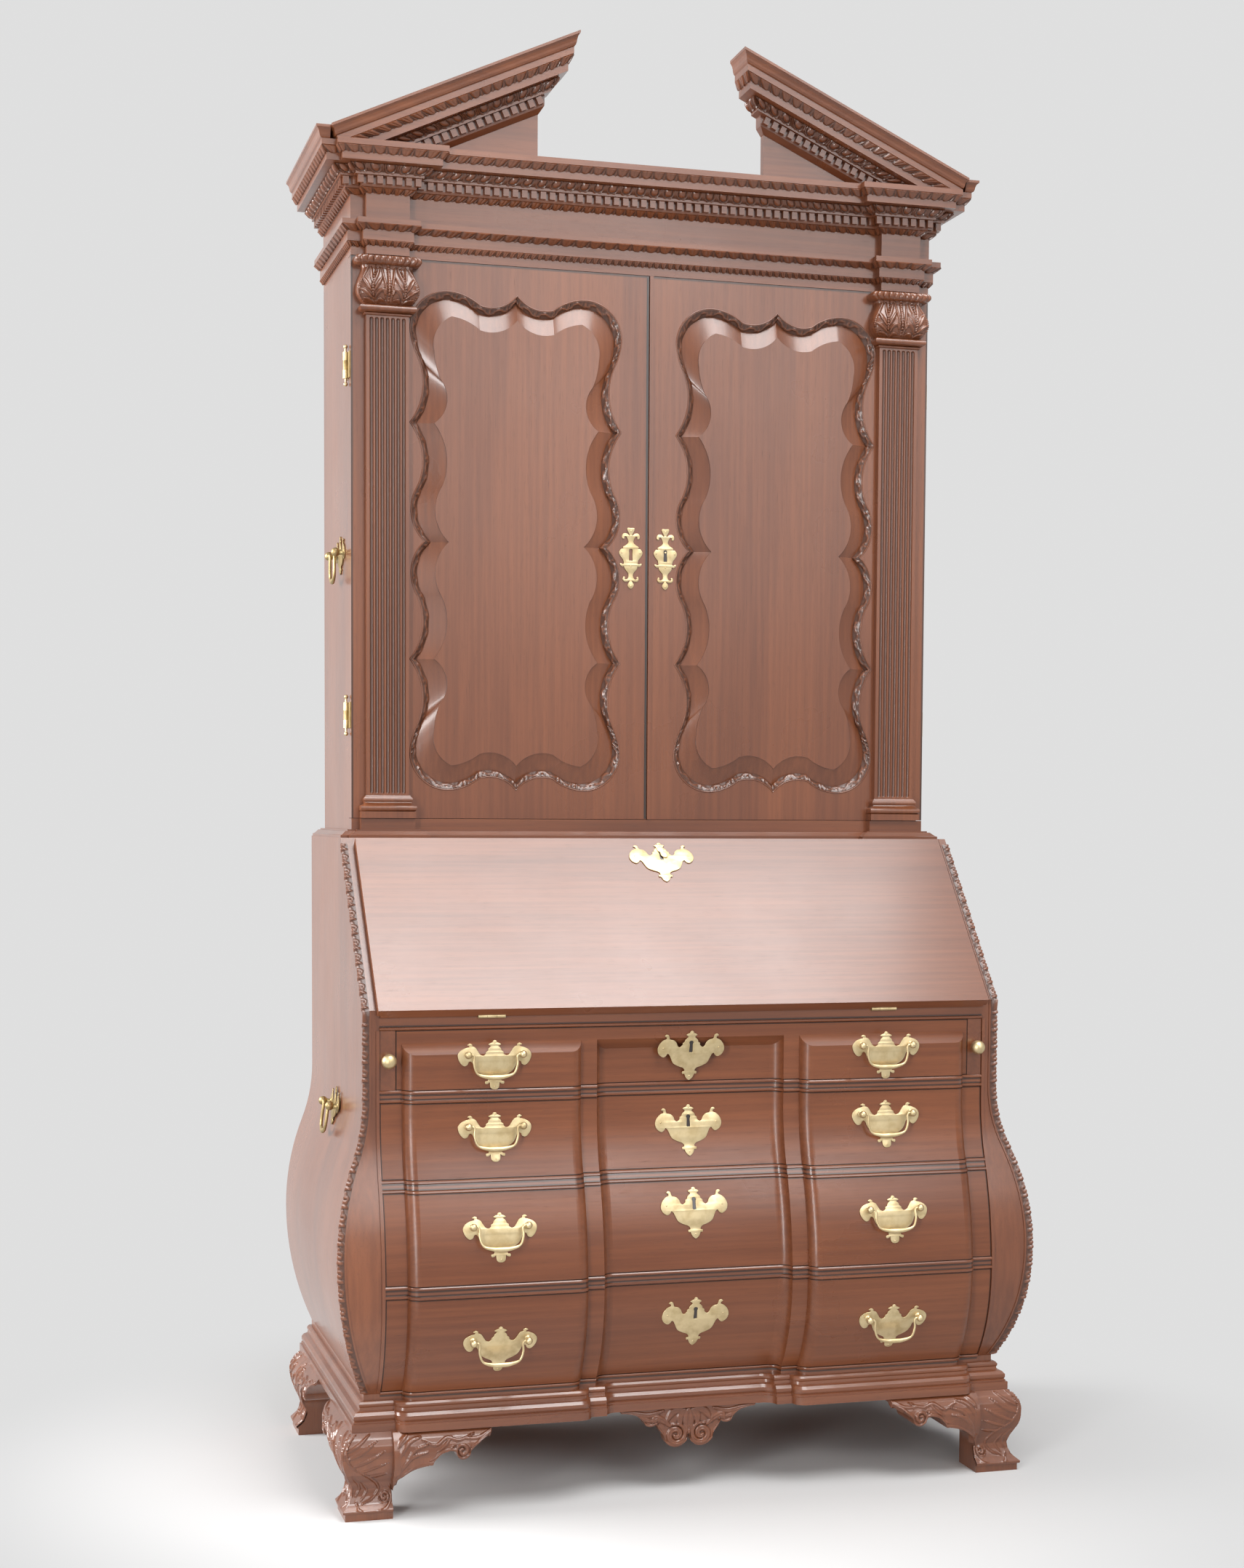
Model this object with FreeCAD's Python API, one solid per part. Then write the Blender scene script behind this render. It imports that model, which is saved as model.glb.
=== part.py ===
"""Bureau bookcase: a swelled and blocked desk with a slanted fall front, and a two-door
bookcase with a broken pediment above it.  Millimetres, +Z up, the front faces -Y."""
import FreeCAD, Part
import math
import os
from collections import namedtuple

V = FreeCAD.Vector
TOUCH = 1e-6
Swell = namedtuple("Swell", "depth widest turn start foot foot_depth")
Pull = namedtuple("Pull", "half up down post ball stem out rod drop corner pin")

# Desk case
DESK_HALF = 539.0
DESK_SIDE = 24.0
DESK_HEIGHT = 1070.5
DESK_FRONT = 566.0
BOARD = 20.0
BACK_BOARD = 12.0
CASE_FLOOR = 195.0
CASE_BOTTOM = 165.0
SIDE_SWELL = Swell(depth=48.0, widest=405.0, turn=561.0, start=660.0, foot=192.0, foot_depth=2.0)
FRONT_SWELL = Swell(depth=53.0, widest=350.0, turn=530.0, start=640.0, foot=192.0, foot_depth=1.0)

# Blocking of the front, in plan
BLOCK_RELIEF = 18.0
BLOCK_ROUND = 20.0
BLOCK_MARGIN = 35.0
BLOCK_INNER = 187.0
HOLLOW_EDGE = 160.0

# Drawers, from the top one down, and the rails between them
OPENING_HEIGHTS = (95.2, 120.0, 143.0, 158.0)
RAIL = 19.6
TOP_RAIL = 20.0
RAIL_DEPTH = 86.0
BEAD_HEIGHT = 5.4
BEAD_PROUD = 2.6
BEAD_ROUND = 1.5
EDGE_GAP = 0.8
RUN_GAP = 0.3
FRONT_BACK = 526.0
DRAWER_BACK = 60.0
DRAWER_SIDE = 11.0
DRAWER_BOTTOM = 7.0
DRAWER_SIDE_DROP = 8.0
TOP_BLOCK_MARGIN = 20.5
TOP_BLOCK_BEVEL = 17.0
RUNNER_WIDTH = 62.0

# Lopers that carry the open fall
LOPER_WIDTH = 24.6
LOPER_LENGTH = 455.0
GUIDE = 9.0
KNOB_RADIUS = 12.0
KNOB_NECK = 4.5
KNOB_STEM = 9.0

# Slanted fall front
DESK_LEDGE = 45.4
FALL_HEAD = 12.75
FALL_THICKNESS = 20.0
FALL_LIP = 15.0
FALL_LIP_OVERLAP = 4.5
FALL_GAP = 0.5
FALL_FORWARD = 3.4
FALL_HINGE_INSET = 180.0
FALL_HINGE_LENGTH = 45.0

# Moulding round the foot of the case, as (out, height above its underside)
BASE_UNDERSIDE = 137.0
BASE_WALL = 45.0
BASE_OFFSET = 14.0
BASE_PROFILE = ((22.0, 0.0), (22.0, 12.5), (19.0, 13.0), (19.0, 15.5), (17.0, 16.5), (18.5, 20.0),
                (18.5, 25.0), (14.5, 29.5), (8.0, 31.5), (7.0, 36.0), (8.5, 38.5), (8.5, 41.5),
                (6.0, 44.5), (3.5, 45.5))

# Ogee bracket feet
FOOT_WIDTH = 76.0
FOOT_WALL = 34.0
FOOT_PAD = 11.0
FOOT_PAD_OUT = 35.0
FOOT_TOP_OUT = 20.0
FOOT_BULGE_OUT = 39.0
FOOT_BULGE_Z = 100.0
FOOT_WAIST_OUT = 31.0
FOOT_WAIST_Z = 70.0
FOOT_ANKLE_OUT = 21.0
FOOT_ANKLE_Z = 46.0
FOOT_INSTEP_OUT = 27.0
FOOT_INSTEP_Z = 26.0
FOOT_TOE_OUT = 39.0
FOOT_TOE_Z = 16.0
WING_REACH = 160.0
WING_FORWARD = 12.0
WING_OUTLINE = (((3, 8),), ((20, 18), (38, 33)), ((50, 46), (61, 33)), ((80, 32), (98, 51)),
                ((124, 56), (146, 70)), ((156, 80), (160, 96)))

# Drop under the middle of the front
DROP_HALF = 118.0
DROP_DEPTH = 66.0
DROP_THICKNESS = 18.0
DROP_SET_BACK = 7.0
DROP_OUTLINE = (((0.0, 0.0),), ((0.03, 0.08),), ((0.20, 0.12), (0.36, 0.36)), ((0.44, 0.45), (0.53, 0.39)),
                ((0.575, 0.55), (0.64, 0.69)), ((0.69, 0.91), (0.815, 1.0)), ((0.94, 0.91), (0.985, 0.69)),
                ((1.0, 0.64),))

# Carved strip along the front corners
CORNER_WIDTH = 11.0
CORNER_DEPTH = 7.0
CORNER_PROUD = 1.6

# Bookcase
CASE_INSET = 24.0
CASE_SIDE = 22.0
CASE_FRONT = 297.6
CASE_PLINTH = 18.4
DOOR_HEIGHT = 928.0
DOOR_THICKNESS = 24.0
DOOR_GAP = 0.8
SHELF = 18.0
SHELF_SPACES = 4
OUTER_STILE = 94.0
MEETING_STILE = 44.0
ASTRAGAL_WIDTH = 7.0
ASTRAGAL_PROUD = 3.0

# Scalloped door panels
PANEL_MEETING = 48.8
PANEL_OUTER = 99.2
PANEL_RAIL = 48.5
PANEL_BEVEL = 41.0
PANEL_CUSP_SHARE = 0.473
PANEL_MOULDING = 11.0
PANEL_LIP = 1.5
PANEL_SUNK = 9.0
PANEL_BACK = 11.0
FIELD_STEP = 1.8
PANEL_SHOULDER = 113.0
PANEL_ROUND = 60.0
PANEL_WAVE = 22.0
PANEL_CUSP_IN = 25.0

# Pilasters on the doors
PILASTER_INSET = 59.5
PILASTER_HALF = 36.0
PILASTER_PROUD = 12.0
PILASTER_CAPITAL = 79.0
CAPITAL_GAP = 2.0
FLUTES = 7
FLUTE_RADIUS = 3.3
FLUTE_MARGIN = 9.0
FLUTE_STOP = 10.0
ABACUS_OUT = 17.0
ABACUS_HEIGHT = 15.0
NECK_PROFILE = ((0.0, 0.0), (3.0, 0.8), (3.0, 4.2), (1.5, 5.0), (8.5, 6.0), (11.0, 9.0), (11.0, 13.0),
                (8.5, 16.5), (3.0, 17.0))
BELL_PROFILE = ((9.0, 0.12), (15.0, 0.34), (13.5, 0.55), (7.0, 0.85), (4.5, 0.995))
PILASTER_BASE = ((10.0, 0.0), (10.0, 11.0), (8.0, 11.5), (11.0, 15.0), (11.0, 19.0), (7.0, 22.0),
                 (3.5, 27.0), (5.5, 30.0), (5.5, 33.0), (1.5, 37.8))

# Mouldings that break forward over the pilasters, as (out, height above their underside)
BREAK_HALF = 36.0
PLINTH_HALF = 46.0
BREAK_PROUD = 16.0
WAIST_PROFILE = ((22.0, 0.0), (22.0, 4.0), (19.0, 5.0), (12.0, 11.0), (8.0, 11.3), (8.0, 13.5))
FRIEZE_PROFILE = ((0.0, 0.0), (0.0, 14.5), (6.0, 21.5), (6.5, 21.7), (6.5, 39.0), (16.5, 47.0),
                  (16.5, 55.3), (0.5, 55.7), (0.5, 99.0))
CORNICE_PROFILE = ((1.0, 0.0), (10.0, 7.4), (10.5, 11.0), (10.5, 23.7), (21.0, 24.0), (21.0, 28.6),
                   (32.0, 39.4), (47.0, 39.7), (47.0, 51.7), (55.0, 61.0), (56.0, 61.2), (56.0, 70.5))
CROWN_PROFILE = ((56.0, 0.0), (58.5, 1.5), (60.0, 4.5), (60.6, 8.0), (62.0, 12.0), (65.0, 15.0), (66.0, 15.3),
                 (66.0, 19.3))
DENTIL_OUT = 18.0
DENTIL_BOTTOM = 11.2
DENTIL_TOP = 23.6
DENTIL_WIDTH = 9.6
DENTIL_PITCH = 16.0

# Broken pediment
RAKE = math.radians(24.2)
RAKE_FORWARD = 10.0
RAKE_WALL = 4.0
RAKE_RETURN = 0.86
TYMPANUM_INNER = 200.3

# Drawer pulls and key plates; outlines are shares of half the width and of the heights
PLATE = 2.0
PULL_DROP = (39.0, 39.0, 54.0, 70.0)
DRAWER_PULL = Pull(half=59.0, up=22.0, down=55.0, post=44.4, ball=5.8, stem=3.6, out=11.0, rod=3.2, drop=35.0,
                   corner=20.0, pin=2.0)
KEY_PLATE_DROP = (39.0, 48.0, 40.0, 55.0)
KEY_PLATE_HALF = 57.0
KEY_PLATE_UP = 29.0
KEY_PLATE_DOWN = 54.0
PLATE_OUTLINE = (((0.14, 0.60), (0.25, 0.28)), ((0.34, 0.02), (0.45, 0.38)), ((0.76, 0.55), (0.99, 0.0)),
                 ((0.95, -0.22), (0.83, -0.27)), ((0.74, -0.24), (0.68, -0.16)),
                 ((0.56, -0.36), (0.44, -0.52)), ((0.28, -0.58), (0.14, -0.70)), ((0.13, -0.86), (0.0, -1.0)))
SEAT_GAP = 0.3
PIN_GAP = 0.05
PIN_DEPTH = 8.0
ROD_GAP = 0.4

# Carrying handles on the sides, each at a depth and a height
CARRY_PULL = Pull(half=46.0, up=30.0, down=34.0, post=36.0, ball=7.5, stem=5.0, out=15.0, rod=4.6, drop=46.0,
                  corner=20.0, pin=2.6)
CARRY_UPPER = (190.0, 1552.0)
CARRY_LOWER = (300.0, 622.0)

# Hinges, locks and the key cover
HINGE_BARREL = 4.5
HINGE_PIN = 1.8
HINGE_LEAF = 2.0
HINGE_GAP = 0.4
FALL_BARREL = 3.4
FALL_LEAF = 30.0
DOOR_HINGE_LENGTH = 43.0
DOOR_HINGE_LEAF = 20.0
DOOR_HINGE_UP = (172.0, 752.0)
FINIAL_RADIUS = 3.6
FINIAL_LENGTH = 13.0
DOOR_PLATE_X = 31.0
DOOR_PLATE_UP = 448.0
DOOR_PLATE_HALF = 20.0
DOOR_PLATE_TALL = 51.0
DOOR_PLATE_OUTLINE = (((0.30, 0.85), (0.22, 0.62)), ((0.80, 0.30), (0.95, 0.0)),
                      ((0.80, -0.30), (0.22, -0.62)), ((0.30, -0.85), (0.0, -1.0)))
FALL_PLATE_DROP = 40.0
COVER_LENGTH = 24.0
COVER_WIDTH = 11.0
COVER_PIN = 2.2
COVER_TURN = 25.0
LOCK_WIDTH = 64.0
LOCK_HEIGHT = 40.0
LOCK_DEPTH = 10.0

# Pigeonholes behind the fall
NEST_FRONT = 318.0
NEST_BOARD = 9.0
NEST_ROOM = 24.5
NEST_COLUMNS = 6
NEST_SHELF_SHARE = 0.39

# Levels and places that follow from the sizes above
OPENINGS = []
LEVEL = CASE_FLOOR
for opening_height in reversed(OPENING_HEIGHTS):
    OPENINGS.insert(0, (LEVEL, LEVEL + opening_height))
    LEVEL += opening_height + RAIL
DRAWER_TOP = OPENINGS[0][1]
WRITING_LEVEL = DRAWER_TOP + TOP_RAIL
CASE_HALF = DESK_HALF - CASE_INSET
PILASTER_X = CASE_HALF - PILASTER_INSET
PANEL_X = (CASE_HALF - PANEL_OUTER + PANEL_MEETING) / 2
PANEL_HALF_WIDTH = (CASE_HALF - PANEL_OUTER - PANEL_MEETING) / 2
PANEL_HALF_HEIGHT = DOOR_HEIGHT / 2 - PANEL_RAIL
PANEL_CUSP_Z = PANEL_HALF_HEIGHT * PANEL_CUSP_SHARE
CASE_BASE = DESK_HEIGHT + WAIST_PROFILE[-1][1]
DOOR_BOTTOM = CASE_BASE + CASE_PLINTH + DOOR_GAP
DOOR_TOP = DOOR_BOTTOM + DOOR_HEIGHT
DOOR_HEAD = DOOR_TOP + DOOR_GAP
CORNICE_BASE = DOOR_HEAD + FRIEZE_PROFILE[-1][1]
CORNICE_TOP = CORNICE_BASE + CORNICE_PROFILE[-1][1]
DESK_INSIDE = DESK_HALF - DESK_SIDE
CASE_INSIDE = CASE_HALF - CASE_SIDE
BLOCK_OUTER = DESK_INSIDE - BLOCK_MARGIN
PULL_X = (BLOCK_OUTER + BLOCK_INNER) / 2
FALL_HINGE_X = DESK_INSIDE - FALL_HINGE_INSET
DOOR_BACK = CASE_FRONT - DOOR_THICKNESS
FALL_AXIS = V(0, -DESK_FRONT - FALL_FORWARD, WRITING_LEVEL)
SIDE_EDGE_OUT = FALL_THICKNESS - FALL_LIP
SLANT_RISE = DESK_HEIGHT - WRITING_LEVEL
SLANT_RUN = DESK_FRONT + FALL_FORWARD - CASE_FRONT - DESK_LEDGE
SLANT_REACH = math.hypot(SLANT_RISE, SLANT_RUN)
SLANT = math.acos(SIDE_EDGE_OUT / SLANT_REACH) - math.atan2(SLANT_RUN, SLANT_RISE)
FALL_LENGTH = (SLANT_RISE - FALL_HEAD) / math.sin(SLANT)
FALL_PLATE_ALONG = FALL_LENGTH - FALL_PLATE_DROP
NEST_HEIGHT = SLANT_RISE - BOARD - NEST_ROOM
NEST_SHELF = NEST_HEIGHT * NEST_SHELF_SHARE
LOPER_INNER = DESK_INSIDE - EDGE_GAP - LOPER_WIDTH
TOP_DRAWER_HALF = LOPER_INNER - EDGE_GAP
RAIL_BACK = DESK_FRONT - RAIL_DEPTH
DOOR_AXIS_X = CASE_HALF + HINGE_BARREL + HINGE_GAP
BREAK_OUTER = PILASTER_X + BREAK_HALF
BREAK_INNER = PILASTER_X - BREAK_HALF
FOOT_HALF = DESK_HALF + SIDE_SWELL.foot_depth
FOOT_FRONT = DESK_FRONT + FRONT_SWELL.foot_depth
REACH = DESK_FRONT + FRONT_SWELL.depth + BLOCK_RELIEF + 2 * FOOT_BULGE_OUT
CLEAR_OF_ALL = 2 * REACH


def box(x0, x1, y0, y1, z0, z1):
    """A block between two corners."""
    return Part.makeBox(x1 - x0, y1 - y0, z1 - z0, V(x0, y0, z0))


def rod(start, end, radius):
    """A round bar from one point to another."""
    return Part.makeCylinder(radius, (end - start).Length, start, end - start)


def union(shapes):
    """One solid from shapes that meet."""
    shapes = list(shapes)
    if len(shapes) == 1:
        return shapes[0]
    return shapes[0].multiFuse(shapes[1:]).removeSplitter()


def mirrored(shape):
    """The same piece on the other side of the middle."""
    return shape.mirror(V(0, 0, 0), V(1, 0, 0))


def both(shape):
    """A piece and its mirror twin."""
    return [shape, mirrored(shape)]


def open_path(start, steps, place):
    """A wire through steps of one point (a line) or two points (an arc)."""
    edges = []
    here = start
    for step in steps:
        points = [place(point) for point in (here,) + tuple(step)]
        edges.append(Part.makeLine(*points) if len(step) == 1 else Part.Arc(*points).toShape())
        here = step[-1]
    return Part.Wire(edges)


def outline(start, steps, place):
    """The same, closed by a line where its last point isn't its first."""
    if (place(steps[-1][-1]) - place(start)).Length > TOUCH:
        steps = list(steps) + [(start,)]
    return open_path(start, steps, place)


def lines(points):
    """Outline steps that run straight through points."""
    return [(point,) for point in points]


def prism(start, steps, place, direction):
    """A solid on a closed outline."""
    return Part.Face(outline(start, steps, place)).extrude(direction)


def across(points, x0, x1):
    """A prism along X on a polygon of (y, z) points."""
    return prism(points[0], lines(points[1:]), lambda p: V(x0, p[0], p[1]), V(x1 - x0, 0, 0))


def upright(points, z0, z1):
    """A prism along Z on a polygon of (x, y) points."""
    return prism(points[0], lines(points[1:]), lambda p: V(p[0], p[1], z0), V(0, 0, z1 - z0))


def reversed_steps(start, steps, flip):
    """The same path walked backwards on the far side of a mirror."""
    ends = [start] + [step[-1] for step in steps]
    back = []
    for index in range(len(steps) - 1, -1, -1):
        end = flip(ends[index])
        back.append((flip(steps[index][0]), end) if len(steps[index]) == 2 else (end,))
    return back


def symmetric(start, steps):
    """Steps of a left half, from the top middle to the bottom middle, and back up the right."""
    return steps + reversed_steps(start, steps, lambda p: (-p[0], p[1]))


def scaled(steps, half, up, down):
    """Outline steps given as shares of a half width and of the heights above and below."""

    def at(share):
        return (-share[0] * half, share[1] * (up if share[1] > 0 else down))

    return [tuple(at(share) for share in step) for step in steps]


def loft(wires):
    """A solid with straight faces from wire to wire."""
    return Part.makeLoft(list(wires), True, True)


def layered(profile, wire_at):
    """One solid through wires that a profile of (out, height) points gives."""
    wires = [wire_at(out, height) for out, height in profile]
    return union(loft(pair) for pair in zip(wires, wires[1:]))


# Swelled case


def swell_radii(swell):
    """Radii of the outward arc, the hollow arc above it and the arc below the widest point."""
    rise = swell.start - swell.widest
    total = (swell.depth ** 2 + rise ** 2) / (2 * swell.depth)
    share = (swell.turn - swell.widest) / rise
    drop = swell.depth - swell.foot_depth
    lower = (drop ** 2 + (swell.widest - swell.foot) ** 2) / (2 * drop)
    return total * share, total * (1 - share), lower


def swell_at(swell, z):
    """How far the case stands out at a height, and how far its face leans back there."""
    outward, hollow, lower = swell_radii(swell)
    if z >= swell.start:
        return 0.0, 0.0
    if z >= swell.turn:
        lean = math.asin((swell.start - z) / hollow)
        return hollow * (1 - math.cos(lean)), lean
    if z >= swell.widest:
        lean = math.asin((z - swell.widest) / outward)
        return swell.depth - outward * (1 - math.cos(lean)), lean
    if z >= swell.foot:
        lean = math.asin((swell.widest - z) / lower)
        return swell.depth - lower * (1 - math.cos(lean)), -lean
    return swell.foot_depth, 0.0


def swell_steps(swell, bottom):
    """Outline steps of (out, z) down the swelled line, from where it starts."""

    def at(z):
        return (swell_at(swell, z)[0], z)

    steps = [((0.0, swell.start),)]
    levels = (swell.start, swell.turn, swell.widest, swell.foot)
    for upper, lower in zip(levels, levels[1:]):
        steps.append((at((upper + lower) / 2), at(lower)))
    return steps + [((swell.foot_depth, bottom),)]


def block_steps(half, front, grow):
    """Plan of the blocked front from its left end to its right end, with blocks wider by twice a growth."""
    reach = math.sqrt(BLOCK_ROUND ** 2 - (BLOCK_ROUND - BLOCK_RELIEF) ** 2)
    turn = math.atan2(reach, BLOCK_ROUND - BLOCK_RELIEF) / 2
    inset = BLOCK_ROUND * math.sin(turn)
    drop = BLOCK_ROUND * (1 - math.cos(turn))
    steps = []
    outer, inner, edge_in = BLOCK_OUTER + grow, BLOCK_INNER - grow, HOLLOW_EDGE - grow
    for edge, inward, side in ((-outer, 1, 1), (-inner, -1, 1), (-edge_in, 1, -1), (edge_in, -1, -1),
                               (inner, 1, 1), (outer, -1, 1)):
        flat = (edge, front)
        full = (edge + inward * reach, front - side * BLOCK_RELIEF)
        middle = (full[0] - inward * inset, full[1] + side * drop)
        first, last = (flat, full) if inward > 0 else (full, flat)
        steps += [(first,), (middle, last)]
    return steps + [((half, front),)]


def blocked_wire(half, front, back, z, grow=0.0):
    """Closed plan of the blocked front at one height."""
    steps = block_steps(half, front, grow) + lines([(half, back), (-half, back)])
    return outline((-half, front), steps, lambda p: V(p[0], p[1], z))


def blocked_stack(half, profile, depth, grow=0.0):
    """A solid with the blocked plan, whose front follows a profile of (out, z) points."""
    pieces = []
    for (out, z), (next_out, next_z) in zip(profile, profile[1:]):
        front = -(DESK_FRONT + out)
        face = Part.Face(blocked_wire(half, front, front + depth, z, grow))
        pieces.append(face.extrude(V(0, out - next_out, next_z - z)))
    return union(pieces)


def swelled_block():
    """Everything behind the swelled and blocked front, as one block to cut drawers from."""
    steps = swell_steps(FRONT_SWELL, CASE_BOTTOM)
    spine = open_path((0.0, DRAWER_TOP), steps, lambda p: V(0, -DESK_FRONT - p[0], p[1]))
    sweep = Part.BRepOffsetAPI.MakePipeShell(spine)
    sweep.setTrihedronMode(V(0, 0, 0), V(0, 0, 1))
    back = -(FRONT_BACK - FRONT_SWELL.depth - BOARD)
    sweep.add(blocked_wire(DESK_INSIDE - EDGE_GAP, -DESK_FRONT, back, DRAWER_TOP))
    sweep.build()
    sweep.makeSolid()
    return sweep.shape()


def slant_point(along, out):
    """A (y, z) point by its way up the fall's slope and its way out from the inner face."""
    return (FALL_AXIS.y + along * math.cos(SLANT) - out * math.sin(SLANT),
            FALL_AXIS.z + along * math.sin(SLANT) + out * math.cos(SLANT))


def slant_y(z, out):
    """Depth of a plane parallel to the fall at a height."""
    return FALL_AXIS.y + (z - FALL_AXIS.z) / math.tan(SLANT) - out / math.sin(SLANT)


def slant_z(y, out):
    """Height of a plane parallel to the fall at a depth."""
    return FALL_AXIS.z + (y - FALL_AXIS.y + out / math.sin(SLANT)) * math.tan(SLANT)


def desk_depth(shift, x0, x1):
    """The desk side seen from the side, moved forward by a shift, between two places across."""
    front = -DESK_FRONT - shift
    start = (0.0, DESK_HEIGHT)
    steps = lines([(slant_y(DESK_HEIGHT, SIDE_EDGE_OUT) - shift, DESK_HEIGHT),
                   (front, slant_z(-DESK_FRONT, SIDE_EDGE_OUT))])
    for step in swell_steps(FRONT_SWELL, CASE_BOTTOM):
        steps.append(tuple((front - p[0], p[1]) for p in step))
    steps += lines([(0.0, CASE_BOTTOM)])
    return prism(start, steps, lambda p: V(x0, p[0], p[1]), V(x1 - x0, 0, 0))


def desk_width(inner, shift):
    """The desk side seen from the front, from an inner plane to its swelled face."""
    outer = DESK_HALF + shift
    steps = [tuple((outer + p[0], p[1]) for p in step) for step in swell_steps(SIDE_SWELL, CASE_BOTTOM)]
    steps += lines([(inner, CASE_BOTTOM), (inner, DESK_HEIGHT)])
    return prism((outer, DESK_HEIGHT), steps, lambda p: V(p[0], 0, p[1]), V(0, -REACH, 0))


def corner_strip():
    """The carved strip that runs down the right front corner to the base moulding."""
    far = DESK_HALF + SIDE_SWELL.depth + BOARD
    strip = desk_width(DESK_INSIDE, CORNER_PROUD).common(desk_depth(CORNER_PROUD, DESK_INSIDE, far))
    strip = strip.cut(desk_width(0, -CORNER_WIDTH))
    strip = strip.cut(desk_depth(-CORNER_DEPTH, DESK_INSIDE, far))
    return strip.common(box(0, far, -REACH, 0, CASE_FLOOR, DESK_HEIGHT))


def stile_bead():
    """The bead on the side's inner edge, beside the drawers."""
    far = DESK_INSIDE + BEAD_HEIGHT
    bead = desk_depth(BEAD_PROUD, DESK_INSIDE, far).cut(desk_depth(-BOARD, 0, far))
    return bead.common(box(0, far, -REACH, 0, CASE_FLOOR, DRAWER_TOP))


def desk_side(strip):
    """The right side board, thick enough to be sawn to the swell."""
    far = DESK_HALF + SIDE_SWELL.depth + BOARD
    side = desk_width(DESK_INSIDE, 0).common(desk_depth(0, DESK_INSIDE, far))
    return union([side, stile_bead()]).cut(strip)


def rail_profile(z0, z1, beads):
    """Front of a rail as (out, z) points, with a bead at its lower edge, upper edge or both."""

    def at(z, proud):
        return (swell_at(FRONT_SWELL, z)[0] + proud, z)

    soft = BEAD_PROUD - BEAD_ROUND
    points = [at(z0, 0)]
    if "lower" in beads:
        end = z0 + BEAD_HEIGHT
        points = [at(z0, soft), at(z0 + BEAD_ROUND, BEAD_PROUD)]
        points += [at(end - BEAD_ROUND, BEAD_PROUD), at(end, 0)]
    if "upper" not in beads:
        return points + [at(z1, 0)]
    start = z1 - BEAD_HEIGHT
    points += [at(start, 0), at(start + BEAD_ROUND, BEAD_PROUD)]
    return points + [at(z1 - BEAD_ROUND, BEAD_PROUD), at(z1, soft)]


def top_rail():
    """The straight rail over the top drawer, cut for the hinges of the fall."""
    front = [(-DESK_FRONT - out, z) for out, z in rail_profile(DRAWER_TOP, WRITING_LEVEL, "lower")]
    rail = across(front + [(-RAIL_BACK, WRITING_LEVEL), (-RAIL_BACK, DRAWER_TOP)], -DESK_INSIDE, DESK_INSIDE)
    for x in (-FALL_HINGE_X, FALL_HINGE_X):
        for tool in (fall_notch(), fall_leaf(-1)):
            rail = rail.cut(tool.translated(FALL_AXIS + V(x, 0, 0)))
    return rail


def drawer_rails():
    """The rails above, between and below the drawers; all but the first are blocked."""
    spans = [(CASE_BOTTOM, CASE_FLOOR, "upper")]
    for upper, lower in zip(OPENINGS, OPENINGS[1:]):
        spans.append((lower[1], upper[0], "lower upper"))
    keep = box(-DESK_INSIDE, DESK_INSIDE, -REACH, -RAIL_BACK, CASE_BOTTOM, WRITING_LEVEL)
    depth = FRONT_SWELL.depth + BLOCK_RELIEF + RAIL_DEPTH + BOARD
    stacks = [blocked_stack(DESK_INSIDE, rail_profile(*span), depth) for span in spans]
    return [top_rail()] + [stack.common(keep) for stack in stacks]


def runners():
    """Strips that the drawers run on, and the guides that keep the lopers upright."""
    back = -BACK_BOARD
    pieces = []
    for upper, lower in zip(OPENINGS, OPENINGS[1:]):
        pieces += both(box(DESK_INSIDE - RUNNER_WIDTH, DESK_INSIDE, -RAIL_BACK, back, lower[1], upper[0]))
    inner = TOP_DRAWER_HALF - GUIDE
    pieces += both(box(inner, TOP_DRAWER_HALF, -FRONT_BACK + EDGE_GAP, back, OPENINGS[0][0], DRAWER_TOP))
    return pieces


def desk_boards():
    """The top board, whose front edge takes the closed fall, and the bottom board."""
    under = DESK_HEIGHT - BOARD
    seat = FALL_LENGTH + 2 * EDGE_GAP
    section = [(-BACK_BOARD, under), (slant_y(under, -FALL_GAP), under), slant_point(seat, -FALL_GAP),
               slant_point(seat, SIDE_EDGE_OUT), (slant_y(DESK_HEIGHT, SIDE_EDGE_OUT), DESK_HEIGHT),
               (-BACK_BOARD, DESK_HEIGHT)]
    top = across(section, -DESK_INSIDE, DESK_INSIDE)
    bottom = box(-DESK_INSIDE, DESK_INSIDE, -RAIL_BACK, -BACK_BOARD, CASE_FLOOR - BOARD, CASE_FLOOR)
    return [top, bottom]


def writing_board():
    """The fixed part of the writing surface."""
    return [box(-DESK_INSIDE, DESK_INSIDE, -RAIL_BACK, -BACK_BOARD, DRAWER_TOP, WRITING_LEVEL)]


def back_boards():
    """The boards that close the backs of both cases."""
    return [box(-DESK_INSIDE, DESK_INSIDE, -BACK_BOARD, 0, CASE_BOTTOM, DESK_HEIGHT),
            box(-CASE_INSIDE, CASE_INSIDE, -BACK_BOARD, 0, CASE_BASE, CORNICE_TOP - BACK_BOARD)]


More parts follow.
